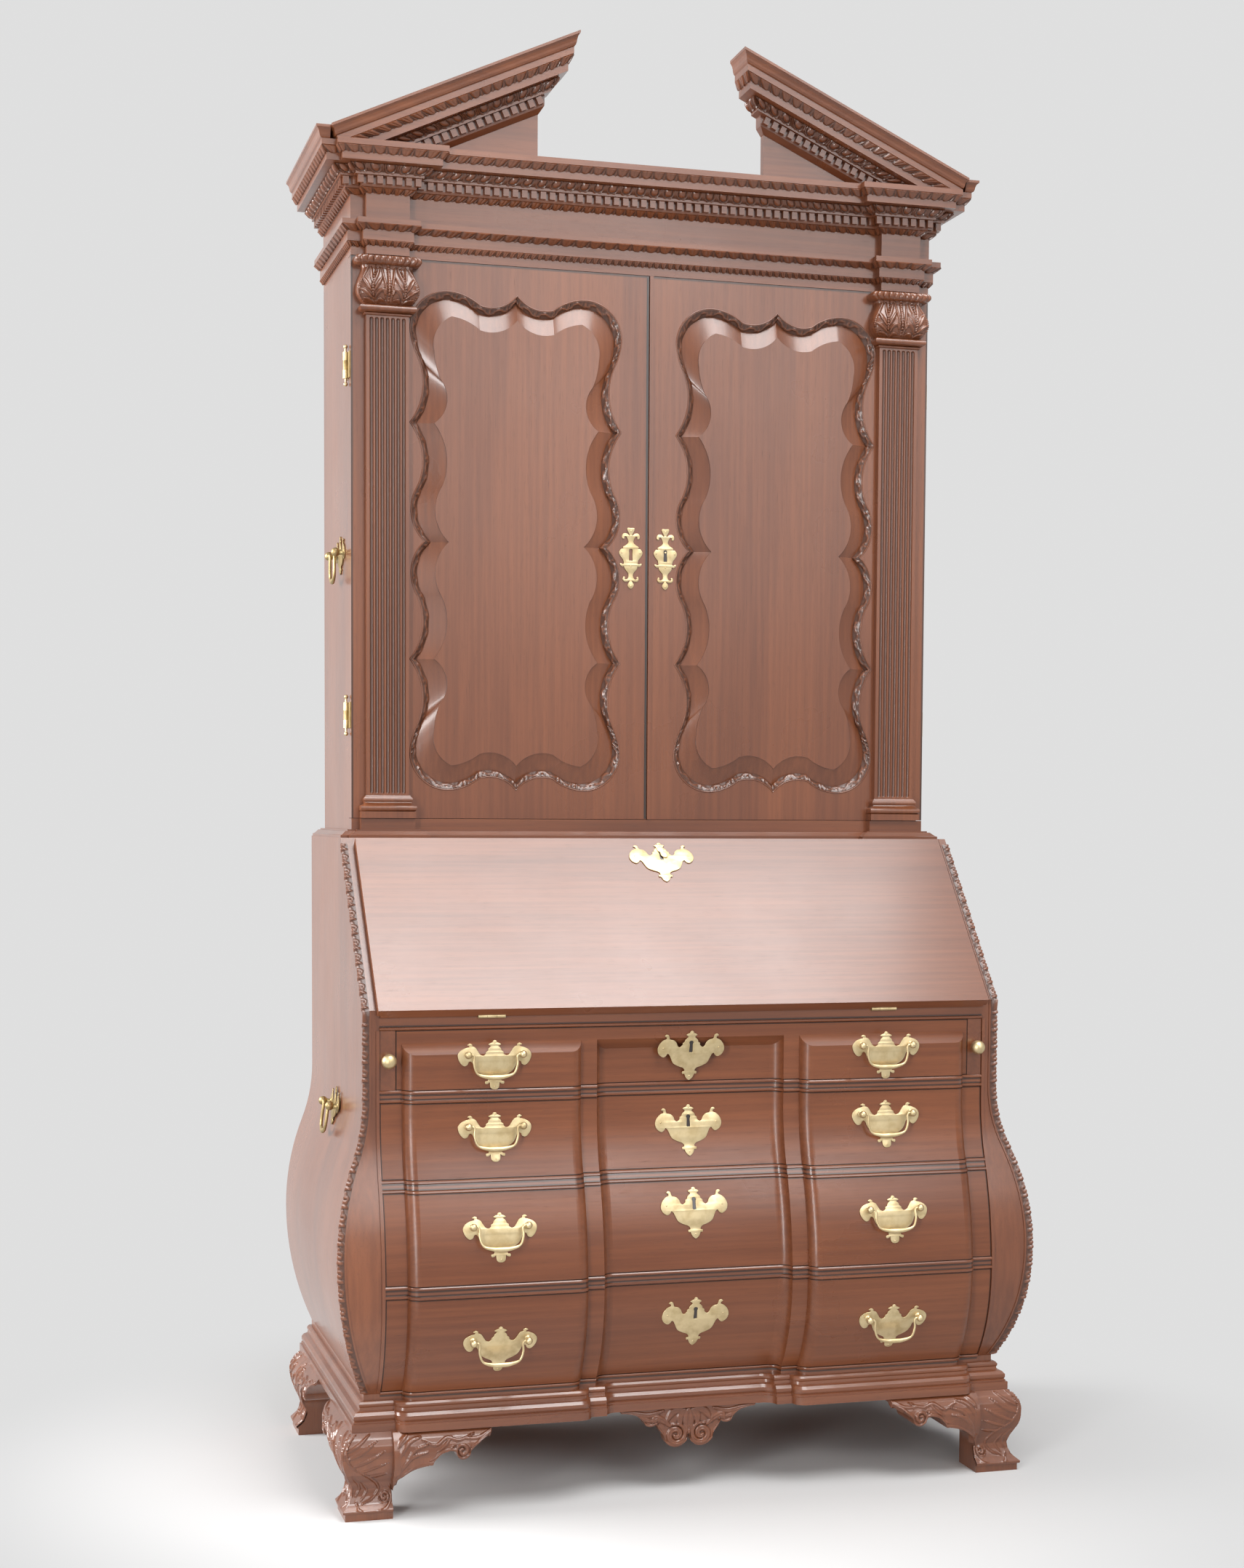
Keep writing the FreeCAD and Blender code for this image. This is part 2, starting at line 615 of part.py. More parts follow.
def base_moulding():
    """Blocked front length and two side lengths, mitred at the front corners."""
    profile = [(out, BASE_UNDERSIDE + height) for out, height in BASE_PROFILE]
    half, front = FOOT_HALF, FOOT_FRONT
    ring = blocked_stack(half + BASE_WALL, profile, REACH, BASE_OFFSET)
    right = [(half + out, z) for out, z in profile]
    section = right + [(-x, z) for x, z in reversed(right)]
    keep = prism(section[0], lines(section[1:]), lambda p: V(p[0], 0, p[1]), V(0, -REACH, 0))
    ring = ring.common(keep)
    case = Part.Face(blocked_wire(half, -front, 0, CASE_BOTTOM)).extrude(V(0, 0, CASE_FLOOR - CASE_BOTTOM))
    inside = box(BASE_WALL - half, half - BASE_WALL, BASE_WALL - front, BOARD, 0, CASE_BOTTOM)
    ring = ring.cut(case).cut(inside)
    inner = BASE_WALL + BLOCK_RELIEF
    mitre = [(-half - inner, -front - inner), (half + inner, -front - inner),
             (half - inner, inner - front), (inner - half, inner - front)]
    wedge = upright(mitre, 0, CASE_FLOOR)
    return [ring.common(wedge)] + list(ring.cut(wedge).Solids)


# Feet and drop


def foot_steps():
    """Ogee of a foot as (out, z) outline steps, from its top down to the floor."""
    bulge = (FOOT_BULGE_OUT, FOOT_BULGE_Z)
    waist = (FOOT_WAIST_OUT, FOOT_WAIST_Z)
    ankle = (FOOT_ANKLE_OUT, FOOT_ANKLE_Z)
    instep = (FOOT_INSTEP_OUT, FOOT_INSTEP_Z)
    return [(bulge, waist), (ankle, instep), ((FOOT_TOE_OUT, FOOT_TOE_Z),), ((FOOT_PAD_OUT, FOOT_PAD),),
            ((FOOT_PAD_OUT, 0.0),)]


def ogee(place, thickness, direction):
    """A wall with the foot's ogee on its outside."""
    steps = foot_steps() + lines([(-thickness, 0.0), (-thickness, BASE_UNDERSIDE)])
    return prism((FOOT_TOP_OUT, BASE_UNDERSIDE), steps, place, direction)


def bracket(place, direction):
    """Silhouette of a foot and its scrolled wing; (in, z) runs inward from the case corner."""
    top = BASE_UNDERSIDE
    post = FOOT_WIDTH - FOOT_PAD_OUT
    tip = post + WING_REACH
    out = -FOOT_BULGE_OUT - FOOT_TOP_OUT
    wing = [tuple((tip - p[0], top - p[1]) for p in step) for step in WING_OUTLINE]
    steps = lines([(tip, top)]) + wing + lines([(post, 0.0), (out, 0.0)])
    return prism((out, top), steps, place, direction)


def front_foot():
    """The right front foot: a side wall and a front wall, whose wing stands forward as the blocks do."""
    half, front, thick = FOOT_HALF, FOOT_FRONT, FOOT_WALL
    inward = half - FOOT_WIDTH - WING_REACH
    far = half + 2 * FOOT_BULGE_OUT
    post = half + FOOT_PAD_OUT - FOOT_WIDTH
    face_post = ogee(lambda p: V(post, -front - p[0], p[1]), thick, V(far - post, 0, 0))
    forward = front + WING_FORWARD
    face_wing = ogee(lambda p: V(inward, -forward - p[0], p[1]), thick, V(post - inward, 0, 0))
    face_side = ogee(lambda p: V(half + p[0], -REACH, p[1]), thick, V(0, REACH, 0))
    keep_side = ogee(lambda p: V(half + p[0], -REACH, p[1]), half, V(0, REACH, 0))
    keep_front = ogee(lambda p: V(0, -front - p[0], p[1]), front, V(far, 0, 0))
    shape_front = bracket(lambda p: V(half - p[0], -REACH, p[1]), V(0, REACH, 0))
    shape_side = bracket(lambda p: V(0, -front + p[0], p[1]), V(far, 0, 0))
    wall_front = union([face_post, face_wing]).common(keep_side).common(shape_front)
    wall_side = face_side.common(keep_front).common(shape_side).cut(wall_front)
    return [wall_front, wall_side]


def rear_foot():
    """The right rear foot: an ogee side wall with a plain brace behind it."""
    half = FOOT_HALF
    far = half + 2 * FOOT_BULGE_OUT
    side = ogee(lambda p: V(half + p[0], 0, p[1]), FOOT_WALL, V(0, -FOOT_WIDTH - WING_REACH, 0))
    side = side.common(bracket(lambda p: V(0, -p[0] - FOOT_PAD_OUT, p[1]), V(far, 0, 0)))
    brace = box(half - FOOT_WALL - FOOT_WIDTH, half - FOOT_WALL, -BOARD, 0, 0, BASE_UNDERSIDE)
    return [side, brace]


def drop():
    """The shaped board under the middle of the front."""
    half = [tuple((-DROP_HALF * (1 - p[0]), -DROP_DEPTH * p[1]) for p in step) for step in DROP_OUTLINE]
    front = DROP_SET_BACK + BLOCK_RELIEF - FOOT_FRONT - BASE_PROFILE[0][0]
    steps = symmetric((0.0, 0.0), half)
    thick = V(0, DROP_THICKNESS, 0)
    return [prism((0.0, 0.0), steps, lambda p: V(p[0], front, BASE_UNDERSIDE + p[1]), thick)]


# Drawers and lopers


def top_drawer_front():
    """The top drawer's front: its blocks and hollow end below a flat strip."""
    z0, z1 = OPENINGS[0][0] + EDGE_GAP, OPENINGS[0][1] - EDGE_GAP
    shoulder = z1 - TOP_BLOCK_MARGIN
    bevel = shoulder - TOP_BLOCK_BEVEL
    full = Part.Face(blocked_wire(TOP_DRAWER_HALF, -DESK_FRONT, -FRONT_BACK, z0)).extrude(V(0, 0, z1 - z0))
    proud, sunk = -DESK_FRONT - BLOCK_RELIEF, -DESK_FRONT + BLOCK_RELIEF
    keep = [(-FRONT_BACK, z0), (proud, z0), (proud, bevel), (-DESK_FRONT, shoulder), (-DESK_FRONT, z1),
            (-FRONT_BACK, z1)]
    fill = [(sunk, bevel), (-DESK_FRONT, shoulder), (-DESK_FRONT, z1), (sunk, z1)]
    front = full.common(across(keep, -TOP_DRAWER_HALF, TOP_DRAWER_HALF))
    return union([front, across(fill, -HOLLOW_EDGE, HOLLOW_EDGE)])


def drawer_front(block, index):
    """A drawer front, cut from the swelled block or made for the top opening."""
    if index == 0:
        return top_drawer_front()
    half = DESK_INSIDE
    z0, z1 = OPENINGS[index]
    return block.common(box(-half, half, -REACH, -FRONT_BACK, z0 + EDGE_GAP, z1 - EDGE_GAP))


def drawer_box(index):
    """Sides, back and bottom of a drawer."""
    half = TOP_DRAWER_HALF - GUIDE - EDGE_GAP if index == 0 else DESK_INSIDE - EDGE_GAP
    floor = OPENINGS[index][0] + RUN_GAP
    top = OPENINGS[index][1] - DRAWER_SIDE_DROP
    inner = half - DRAWER_SIDE
    back = -DRAWER_BACK
    behind = back - DRAWER_SIDE
    lift = floor + DRAWER_BOTTOM / 2
    sides = both(box(inner, half, -FRONT_BACK, back, floor, top))
    end = box(-inner, inner, behind, back, floor, top)
    bottom = box(-inner, inner, -FRONT_BACK, behind, lift, lift + DRAWER_BOTTOM)
    return sides + [end, bottom]


def loper():
    """The right loper, a plain bar that slides out under the open fall."""
    z0, z1 = OPENINGS[0]
    return box(LOPER_INNER, LOPER_INNER + LOPER_WIDTH, -DESK_FRONT, LOPER_LENGTH - DESK_FRONT,
               z0 + RUN_GAP, z1 - FALL_GAP)


def loper_knob():
    """The brass knob on the right loper."""
    middle = (OPENINGS[0][0] + OPENINGS[0][1]) / 2
    root = V(LOPER_INNER + LOPER_WIDTH / 2, -DESK_FRONT, middle)
    stem = rod(root, root - V(0, KNOB_STEM, 0), KNOB_NECK)
    head = Part.makeSphere(KNOB_RADIUS, root - V(0, KNOB_STEM + KNOB_RADIUS / 2, 0))
    return [union([stem, head]).common(box(0, CLEAR_OF_ALL, -REACH, -DESK_FRONT, 0, DESK_HEIGHT))]


# Fall front


def slant_box(half, along0, along1, out0, out1):
    """A flat board lying on the fall's slope."""
    corners = [slant_point(along0, out0), slant_point(along1, out0), slant_point(along1, out1),
               slant_point(along0, out1)]
    return across(corners, -half, half)


def fall_leaf(side):
    """A fall hinge leaf about the hinge axis: -1 lies in the rail, 1 in the fall."""
    half = FALL_HINGE_LENGTH / 2
    if side < 0:
        return box(-half, half, FALL_BARREL / 2, FALL_LEAF, -HINGE_LEAF, 0)
    lying = box(-half, half, FALL_BARREL / 2, FALL_LEAF, 0, HINGE_LEAF)
    return lying.rotated(V(0, 0, 0), V(1, 0, 0), math.degrees(SLANT))


def fall_notch():
    """Room for a fall hinge's knuckles about its axis."""
    half = FALL_HINGE_LENGTH / 2
    return rod(V(-half, 0, 0), V(half, 0, 0), FALL_BARREL + HINGE_GAP)


def fall_hinge(on_fall):
    """One half of a fall hinge about its axis: the outer knuckles turn with the fall."""
    third = FALL_HINGE_LENGTH / 6
    end = FALL_HINGE_LENGTH / 2 - HINGE_GAP
    middle = rod(V(-third, 0, 0), V(third, 0, 0), FALL_BARREL)
    spans = [(-end, -third - HINGE_GAP), (third + HINGE_GAP, end)]
    outer = [rod(V(x0, 0, 0), V(x1, 0, 0), FALL_BARREL) for x0, x1 in spans]
    room = FALL_BARREL + HINGE_GAP
    if not on_fall:
        leaf = fall_leaf(-1)
        for side in (-1, 1):
            leaf = leaf.cut(rod(V(side * third, 0, 0), V(side * FALL_HINGE_LENGTH, 0, 0), room))
        return union([leaf, middle, rod(V(-end, 0, 0), V(end, 0, 0), HINGE_PIN)])
    leaf = fall_leaf(1).cut(rod(V(-third - HINGE_GAP, 0, 0), V(third + HINGE_GAP, 0, 0), room))
    bore = rod(V(-FALL_HINGE_LENGTH, 0, 0), V(FALL_HINGE_LENGTH, 0, 0), HINGE_PIN + PIN_GAP)
    return union([leaf] + outer).cut(bore)


def fall_front():
    """The fall: a lipped board, notched for its hinges."""
    body = slant_box(DESK_INSIDE - FALL_GAP, 0, FALL_LENGTH, 0, SIDE_EDGE_OUT + FALL_GAP)
    lip = slant_box(DESK_INSIDE + FALL_LIP_OVERLAP, 0, FALL_LENGTH, SIDE_EDGE_OUT + FALL_GAP, FALL_THICKNESS)
    board = union([body, lip])
    for x in (-FALL_HINGE_X, FALL_HINGE_X):
        for tool in (fall_notch(), fall_leaf(1)):
            board = board.cut(tool.translated(FALL_AXIS + V(x, 0, 0)))
    return [board]


def shaped_plate(outline_shares, half, up, down):
    """A brass plate in its own frame: x across, y outward from the wood, z up."""
    steps = symmetric((0.0, up), scaled(outline_shares, half, up, down))
    return prism((0.0, up), steps, lambda p: V(p[0], 0, p[1]), V(0, PLATE, 0))


def fall_spot():
    """Point, outward and upward directions of the key plate on the fall."""
    y, z = slant_point(FALL_PLATE_ALONG, FALL_THICKNESS)
    return V(0, y, z), V(0, -math.sin(SLANT), math.cos(SLANT)), V(0, math.cos(SLANT), math.sin(SLANT))


def fall_brass():
    """Key plate, lock and hinge leaves of the fall."""
    stem = V(0, 0, KEY_PLATE_UP / 2)
    plate = shaped_plate(PLATE_OUTLINE, KEY_PLATE_HALF, KEY_PLATE_UP, KEY_PLATE_DOWN)
    plate = union([plate, rod(stem, stem + V(0, 2 * PLATE + HINGE_GAP, 0), COVER_PIN)])
    middle, reach = FALL_PLATE_ALONG, LOCK_HEIGHT / 2
    lock = slant_box(LOCK_WIDTH / 2, middle - reach, middle + reach, -LOCK_DEPTH, 0)
    hinges = [fall_hinge(True).translated(FALL_AXIS + V(x, 0, 0)) for x in (-FALL_HINGE_X, FALL_HINGE_X)]
    return [seated(plate, *fall_spot()), lock] + hinges


def key_cover():
    """The leaf that swings over the fall's keyhole."""
    pivot = KEY_PLATE_UP / 2
    top = pivot + COVER_WIDTH / 2
    near = PLATE + HINGE_GAP / 2
    half = [((-COVER_WIDTH / 2, pivot), (-COVER_WIDTH / 3, top - COVER_WIDTH)),
            ((-COVER_WIDTH / 2, top - COVER_LENGTH * 0.7), (0.0, top - COVER_LENGTH))]
    steps = symmetric((0.0, top), half)
    leaf = prism((0.0, top), steps, lambda p: V(p[0], near, p[1]), V(0, PLATE, 0))
    leaf = leaf.cut(rod(V(0, 0, pivot), V(0, 2 * near + PLATE, pivot), COVER_PIN + PIN_GAP))
    leaf.rotate(V(0, 0, pivot), V(0, 1, 0), COVER_TURN)
    return [seated(leaf, *fall_spot())]


# Pulls with hanging bails


def pull_posts(size):
    """Plate and pierced posts of a pull, in its own frame."""
    pieces = [shaped_plate(PLATE_OUTLINE, size.half, size.up, size.down)]
    inner = size.post - size.ball
    for side in (-1, 1):
        foot = V(side * size.post, PLATE, 0)
        head = V(side * size.post, size.out, 0)
        post = union([rod(foot, head, size.stem), Part.makeSphere(size.ball, head)])
        start = V(side * (inner - ROD_GAP), size.out, 0)
        bore = rod(start, V(side * (inner + PIN_DEPTH), size.out, 0), size.pin + PIN_GAP)
        pieces.append(post.cut(bore))
    return pieces


def bail(size):
    """A hanging bail whose pins sit in the posts; its axis is the frame's x axis at the balls."""
    thick, deep, corner = size.rod, size.drop, size.corner
    arm = size.post - size.ball - ROD_GAP - thick
    bend = corner * (1 - math.sqrt(0.5))
    half = [((-arm, corner - deep),), ((bend - arm, bend - deep), (corner - arm, -deep)), ((0.0, -deep),)]
    steps = half + reversed_steps((-arm, 0.0), half, lambda p: (-p[0], p[1]))
    path = open_path((-arm, 0.0), steps, lambda p: V(p[0], 0, p[1]))
    circle = Part.Wire(Part.makeCircle(thick, V(-arm, 0, 0), V(0, 0, 1)))
    bar = path.makePipeShell([circle], True, False)
    reach = size.post - size.ball + PIN_DEPTH - ROD_GAP
    pieces = [bar]
    for side in (-1, 1):
        elbow = V(side * arm, 0, 0)
        pieces += [rod(elbow, V(side * reach, 0, 0), size.pin), Part.makeSphere(thick, elbow)]
    return union(pieces)


def seated(shape, origin, outward, up):
    """A piece moved from its own frame to its place."""
    side = up.cross(outward) * -1
    matrix = FreeCAD.Matrix(side.x, outward.x, up.x, origin.x, side.y, outward.y, up.y, origin.y,
                            side.z, outward.z, up.z, origin.z, 0, 0, 0, 1)
    placed = shape.copy()
    placed.Placement = FreeCAD.Placement(matrix).multiply(placed.Placement)
    return placed


def bridge(swell, z, tall):
    """How far a flat plate of some height stands off the hollow part of a swelled face."""
    if not swell.turn < z < swell.start:
        return 0.0
    return (tall / 2) ** 2 / (2 * swell_radii(swell)[1])


def front_spot(x, z, relief, tall):
    """Point, outward and upward directions for a plate on the front, by its place and height."""
    out, lean = swell_at(FRONT_SWELL, z)
    outward = V(0, -math.cos(lean), math.sin(lean))
    face = V(x, -DESK_FRONT - out - relief, z)
    return face + outward * bridge(FRONT_SWELL, z, tall), outward, V(0, math.sin(lean), math.cos(lean))


def side_spot(y, z, tall):
    """Point, outward and upward directions for a plate on the right side."""
    if z > DESK_HEIGHT:
        return V(CASE_HALF, -y, z), V(1, 0, 0), V(0, 0, 1)
    out, lean = swell_at(SIDE_SWELL, z)
    outward = V(math.cos(lean), 0, math.sin(lean))
    face = V(DESK_HALF + out, -y, z)
    return face + outward * bridge(SIDE_SWELL, z, tall), outward, V(-math.sin(lean), 0, math.cos(lean))


def hang(outward, up):
    """Directions of a bail at rest: plumb where the face leans out over it, else along the face."""
    if up.z >= 1 or outward.z >= 0:
        return outward, up
    level = V(outward.x, outward.y, 0)
    level.normalize()
    return level, V(0, 0, 1)


def hung_bail(size, spot):
    """A bail at rest in the posts of a pull."""
    origin, outward, up = spot
    return seated(bail(size), origin + outward * size.out, *hang(outward, up))


def pull_spots(index):
    """Where a drawer's two pulls sit."""
    z = OPENINGS[index][1] - PULL_DROP[index]
    tall = DRAWER_PULL.up + DRAWER_PULL.down
    return [front_spot(side * PULL_X, z, BLOCK_RELIEF, tall) for side in (-1, 1)]


def key_spot(index):
    """Where a drawer's key plate sits; the top one leans against the ceiling of its hollow."""
    z = OPENINGS[index][1] - KEY_PLATE_DROP[index]
    tall = KEY_PLATE_UP + KEY_PLATE_DOWN
    if index > 0:
        return front_spot(0, z, -BLOCK_RELIEF, tall)
    lean = math.atan(BLOCK_RELIEF / tall)
    above = OPENINGS[0][1] - EDGE_GAP - TOP_BLOCK_MARGIN - z
    return (V(0, above * math.tan(lean) - DESK_FRONT, z), V(0, -math.cos(lean), -math.sin(lean)),
            V(0, -math.sin(lean), math.cos(lean)))


def drawer_brass(index, front):
    """Pulls, key plate and lock of a drawer."""
    pieces = [seated(piece, *spot) for spot in pull_spots(index) for piece in pull_posts(DRAWER_PULL)]
    plate = shaped_plate(PLATE_OUTLINE, KEY_PLATE_HALF, KEY_PLATE_UP, KEY_PLATE_DOWN)
    pieces.append(seated(plate, *key_spot(index)))
    face = front.translated(V(0, -SEAT_GAP, 0)) if index > 0 else front
    pieces = [piece.cut(face) for piece in pieces]
    upper = OPENINGS[index][1] - 2 * DRAWER_SIDE_DROP
    half = LOCK_WIDTH / 2
    pieces.append(box(-half, half, -FRONT_BACK, LOCK_DEPTH - FRONT_BACK, upper - LOCK_HEIGHT, upper))
    return pieces


# Bookcase


def stepped_wire(out, z, reach):
    """Plan of a moulding that breaks forward over the pilasters, open at the back wall."""
    half, front = CASE_HALF + out, -CASE_FRONT - out
    forward = front - BREAK_PROUD
    outer, inner = PILASTER_X + reach + out, PILASTER_X - reach - out
    left = [(-half, 0), (-half, front), (-outer, front), (-outer, forward), (-inner, forward),
            (-inner, front)]
    points = left + [(-x, y) for x, y in reversed(left)]
    return outline(points[0], lines(points[1:]), lambda p: V(p[0], p[1], z))


def stepped(profile, base, reach):
    """A moulding round the front and sides, whose breaks reach so far each way, from its underside up."""
    return layered(profile, lambda out, height: stepped_wire(out, base + height, reach))


def hollow(z0, z1):
    """The room inside a moulding that goes round the case."""
    return box(-CASE_INSIDE, CASE_INSIDE, CASE_SIDE - CASE_FRONT, BOARD, z0, z1)


def waist_moulding():
    """The moulding that covers the joint between desk and bookcase."""
    ring = stepped(WAIST_PROFILE, DESK_HEIGHT, PLINTH_HALF)
    return [ring.cut(hollow(DESK_HEIGHT, CASE_BASE))]


def frieze():
    """Architrave and frieze, as one boxed frame."""
    return [stepped(FRIEZE_PROFILE, DOOR_HEAD, BREAK_HALF).cut(hollow(DOOR_HEAD, CORNICE_BASE))]


def comb(length):
    """Plan of a run of dentils along +x, as (along, out) points from its own start."""
    count = int((length - DENTIL_WIDTH) / DENTIL_PITCH) + 1
    margin = (length - (count - 1) * DENTIL_PITCH - DENTIL_WIDTH) / 2
    root = CORNICE_PROFILE[2][0]
    base = root + RUN_GAP
    points = []
    for index in range(count):
        start = margin + index * DENTIL_PITCH
        end = start + DENTIL_WIDTH
        points += [(start, base), (start, DENTIL_OUT), (end, DENTIL_OUT), (end, base)]
    return [(margin, root)] + points[1:-1] + [(length - margin, root)]


def dentil_run(length, place):
    """One run of dentils as a solid; place turns (along, out) into a plan point at height zero."""
    points = comb(length)
    wire = outline(points[0], lines(points[1:]), place)
    return Part.Face(wire).extrude(V(0, 0, DENTIL_TOP - DENTIL_BOTTOM))


def cornice_dentils():
    """Dentils under the cornice, a run for each straight length."""
    z = CORNICE_BASE + DENTIL_BOTTOM
    root = CORNICE_PROFILE[2][0]
    main = 2 * (BREAK_INNER - root)
    runs = [dentil_run(main, lambda p: V(p[0] - main / 2, -CASE_FRONT - p[1], z))]
    block = 2 * (BREAK_HALF + DENTIL_OUT)
    start, front = PILASTER_X - block / 2, -CASE_FRONT - BREAK_PROUD
    runs += both(dentil_run(block, lambda p: V(start + p[0], front - p[1], z)))
    side = CASE_FRONT + root
    runs += both(dentil_run(side, lambda p: V(CASE_HALF + p[1], p[0] - side, z)))
    corner = CASE_HALF + DENTIL_OUT - BREAK_OUTER - root
    runs += both(dentil_run(corner, lambda p: V(CASE_HALF + DENTIL_OUT - p[0], -CASE_FRONT - p[1], z)))
    return runs


def cornice():
    """Horizontal cornice with its dentils and the crown along the sides."""
    room = hollow(CORNICE_BASE, CORNICE_TOP - BACK_BOARD)
    body = stepped(CORNICE_PROFILE, CORNICE_BASE, BREAK_HALF).cut(room)
    return [body] + cornice_dentils() + both(side_crown())


def side_crown():
    """The crown moulding along the right side and round the corner to the pediment."""

    def wire(out, height):
        half, front = CASE_HALF + out, -CASE_FRONT - out
        end = BREAK_OUTER + CROWN_PROFILE[-1][0]
        inner = CASE_HALF
        points = [(half, 0), (half, front), (end, front), (end, CASE_SIDE - CASE_FRONT),
                  (inner, CASE_SIDE - CASE_FRONT), (inner, 0)]
        return outline(points[0], lines(points[1:]), lambda p: V(p[0], p[1], CORNICE_TOP + height))

    return layered(CROWN_PROFILE, wire)


def rake_z(x, below):
    """Height of a plane under the right slope's top, at a place across."""
    corner = BREAK_OUTER + CROWN_PROFILE[-1][0]
    top = CORNICE_TOP + CROWN_PROFILE[-1][1]
    return top + (corner - x) * math.tan(RAKE) - below / math.cos(RAKE)


def rake_profile():
    """Cornice and crown profile as (out, below the top), measured square to the slope."""
    rise = CORNICE_PROFILE[-1][1]
    total = rise + CROWN_PROFILE[-1][1]
    points = [(out, total - height) for out, height in CORNICE_PROFILE]
    return points + [(out, total - rise - height) for out, height in CROWN_PROFILE[1:]]


def rake_wire(out, below):
    """A level of the right raking cornice, which returns round its inner end."""
    outer, inner = BREAK_OUTER + out, TYMPANUM_INNER - out * RAKE_RETURN
    front, back = -CASE_FRONT - RAKE_FORWARD - out, RAKE_WALL - CASE_FRONT
    points = [(outer, back), (outer, front), (inner, front), (inner, back)]
    return outline(points[0], lines(points[1:]), lambda p: V(p[0], p[1], rake_z(p[0], below)))


def rake_dentils():
    """Dentils along the slope, square to it."""
    below = rake_profile()[3][1]
    root = CORNICE_PROFILE[2][0]
    inner = TYMPANUM_INNER - root * RAKE_RETURN
    low = (rake_z(inner, below) - CORNICE_TOP) / math.tan(RAKE) + inner
    length = (low - inner) / math.cos(RAKE)
    run = dentil_run(length, lambda p: V(p[0], -p[1], 0))
    run.rotate(V(0, 0, 0), V(0, 1, 0), math.degrees(RAKE))
    run.translate(V(inner, -CASE_FRONT - RAKE_FORWARD, rake_z(inner, rake_profile()[2][1])))
    return run.common(above_cornice())


def above_cornice():
    """The room over the right half of the horizontal cornice."""
    return box(0, CLEAR_OF_ALL, -REACH, 0, CORNICE_TOP, CORNICE_TOP + CLEAR_OF_ALL)


def pediment():
    """Right half of the broken pediment: its board, raking cornice and dentils."""
    body = layered(rake_profile(), rake_wire)
    rake = body.common(above_cornice()).cut(side_crown())
    inner, front = TYMPANUM_INNER, -CASE_FRONT - RAKE_FORWARD
    thick = V(0, RAKE_FORWARD + RAKE_WALL, 0)
    peak = rake_z(inner, rake_profile()[0][1])
    outer = inner + (peak - CORNICE_TOP) / math.tan(RAKE)
    corners = [(inner, CORNICE_TOP), (outer, CORNICE_TOP), (inner, peak)]
    board = prism(corners[0], lines(corners[1:]), lambda p: V(p[0], front, p[1]), thick)
    return [rake, board, rake_dentils()]


def bookcase_side():
    """The right side of the bookcase."""
    return box(CASE_INSIDE, CASE_HALF, -DOOR_BACK, 0, CASE_BASE, DOOR_HEAD)


def shelf_levels():
    """Undersides of the spaces between shelves."""
    low = CASE_BASE + CASE_PLINTH
    space = (DOOR_HEAD - low - (SHELF_SPACES - 1) * SHELF) / SHELF_SPACES
    return [low + index * (space + SHELF) for index in range(SHELF_SPACES)], space


def bookcase_boards():
    """Plinth rail with its blocks, bottom, shelves and top."""
    top = CASE_BASE + CASE_PLINTH
    rail = box(-CASE_HALF, CASE_HALF, -CASE_FRONT, -DOOR_BACK, CASE_BASE, top)
    near, far = PILASTER_X - PLINTH_HALF, PILASTER_X + PLINTH_HALF
    block = box(near, far, -CASE_FRONT - BREAK_PROUD, -CASE_FRONT, CASE_BASE, top)
    pieces = [union([rail] + both(block))]
    back = -BACK_BOARD
    pieces.append(box(-CASE_INSIDE, CASE_INSIDE, -DOOR_BACK, back, CASE_BASE, top))
    levels, space = shelf_levels()
    for level in levels[1:]:
        pieces.append(box(-CASE_INSIDE, CASE_INSIDE, BOARD - DOOR_BACK, back, level - SHELF, level))
    pieces.append(box(-CASE_INSIDE, CASE_INSIDE, CASE_SIDE - CASE_FRONT, back, DOOR_HEAD, DOOR_HEAD + SHELF))
    return pieces


# Doors, made for the right side


def scallop(share):
    """Outline of the door panel: 0 is its outer edge, 1 the edge of its raised field."""
    wide = PANEL_HALF_WIDTH - share * PANEL_BEVEL
    tall = PANEL_HALF_HEIGHT - share * PANEL_BEVEL
    wave, shoulder, cusp = PANEL_WAVE, PANEL_SHOULDER, PANEL_CUSP_Z
    neck = tall - 1.75 * PANEL_ROUND
    quarter = [((-0.29 * shoulder, tall - 0.95 * wave), (-0.57 * shoulder, tall - 0.9 * wave)),
               ((-0.78 * shoulder, tall - 0.27 * wave), (-shoulder, tall)),
               ((-0.72 * wide - 0.28 * shoulder, tall - 0.29 * PANEL_ROUND), (-wide, tall - PANEL_ROUND)),
               ((0.14 * wave - wide, tall - 1.37 * PANEL_ROUND), (0.5 * wave - wide, neck)),
               ((wave - wide, (neck + cusp) / 2), (-wide, cusp)),
               ((wave - wide, 0.7 * cusp), (0.6 * wave - wide, 0.465 * cusp)),
               ((0.1 * wave - wide, 0.235 * cusp), (PANEL_CUSP_IN - wide, 0.0))]
    lower = reversed_steps((0.0, tall), quarter, lambda p: (p[0], -p[1]))
    return (0.0, tall), symmetric((0.0, tall), quarter + lower)


def panel_wire(share, y):
    """The scalloped outline on the right door at a depth."""
    middle = DOOR_BOTTOM + DOOR_HEIGHT / 2
    start, steps = scallop(share)
    return outline(start, steps, lambda p: V(PANEL_X + p[0], -y, middle + p[1]))


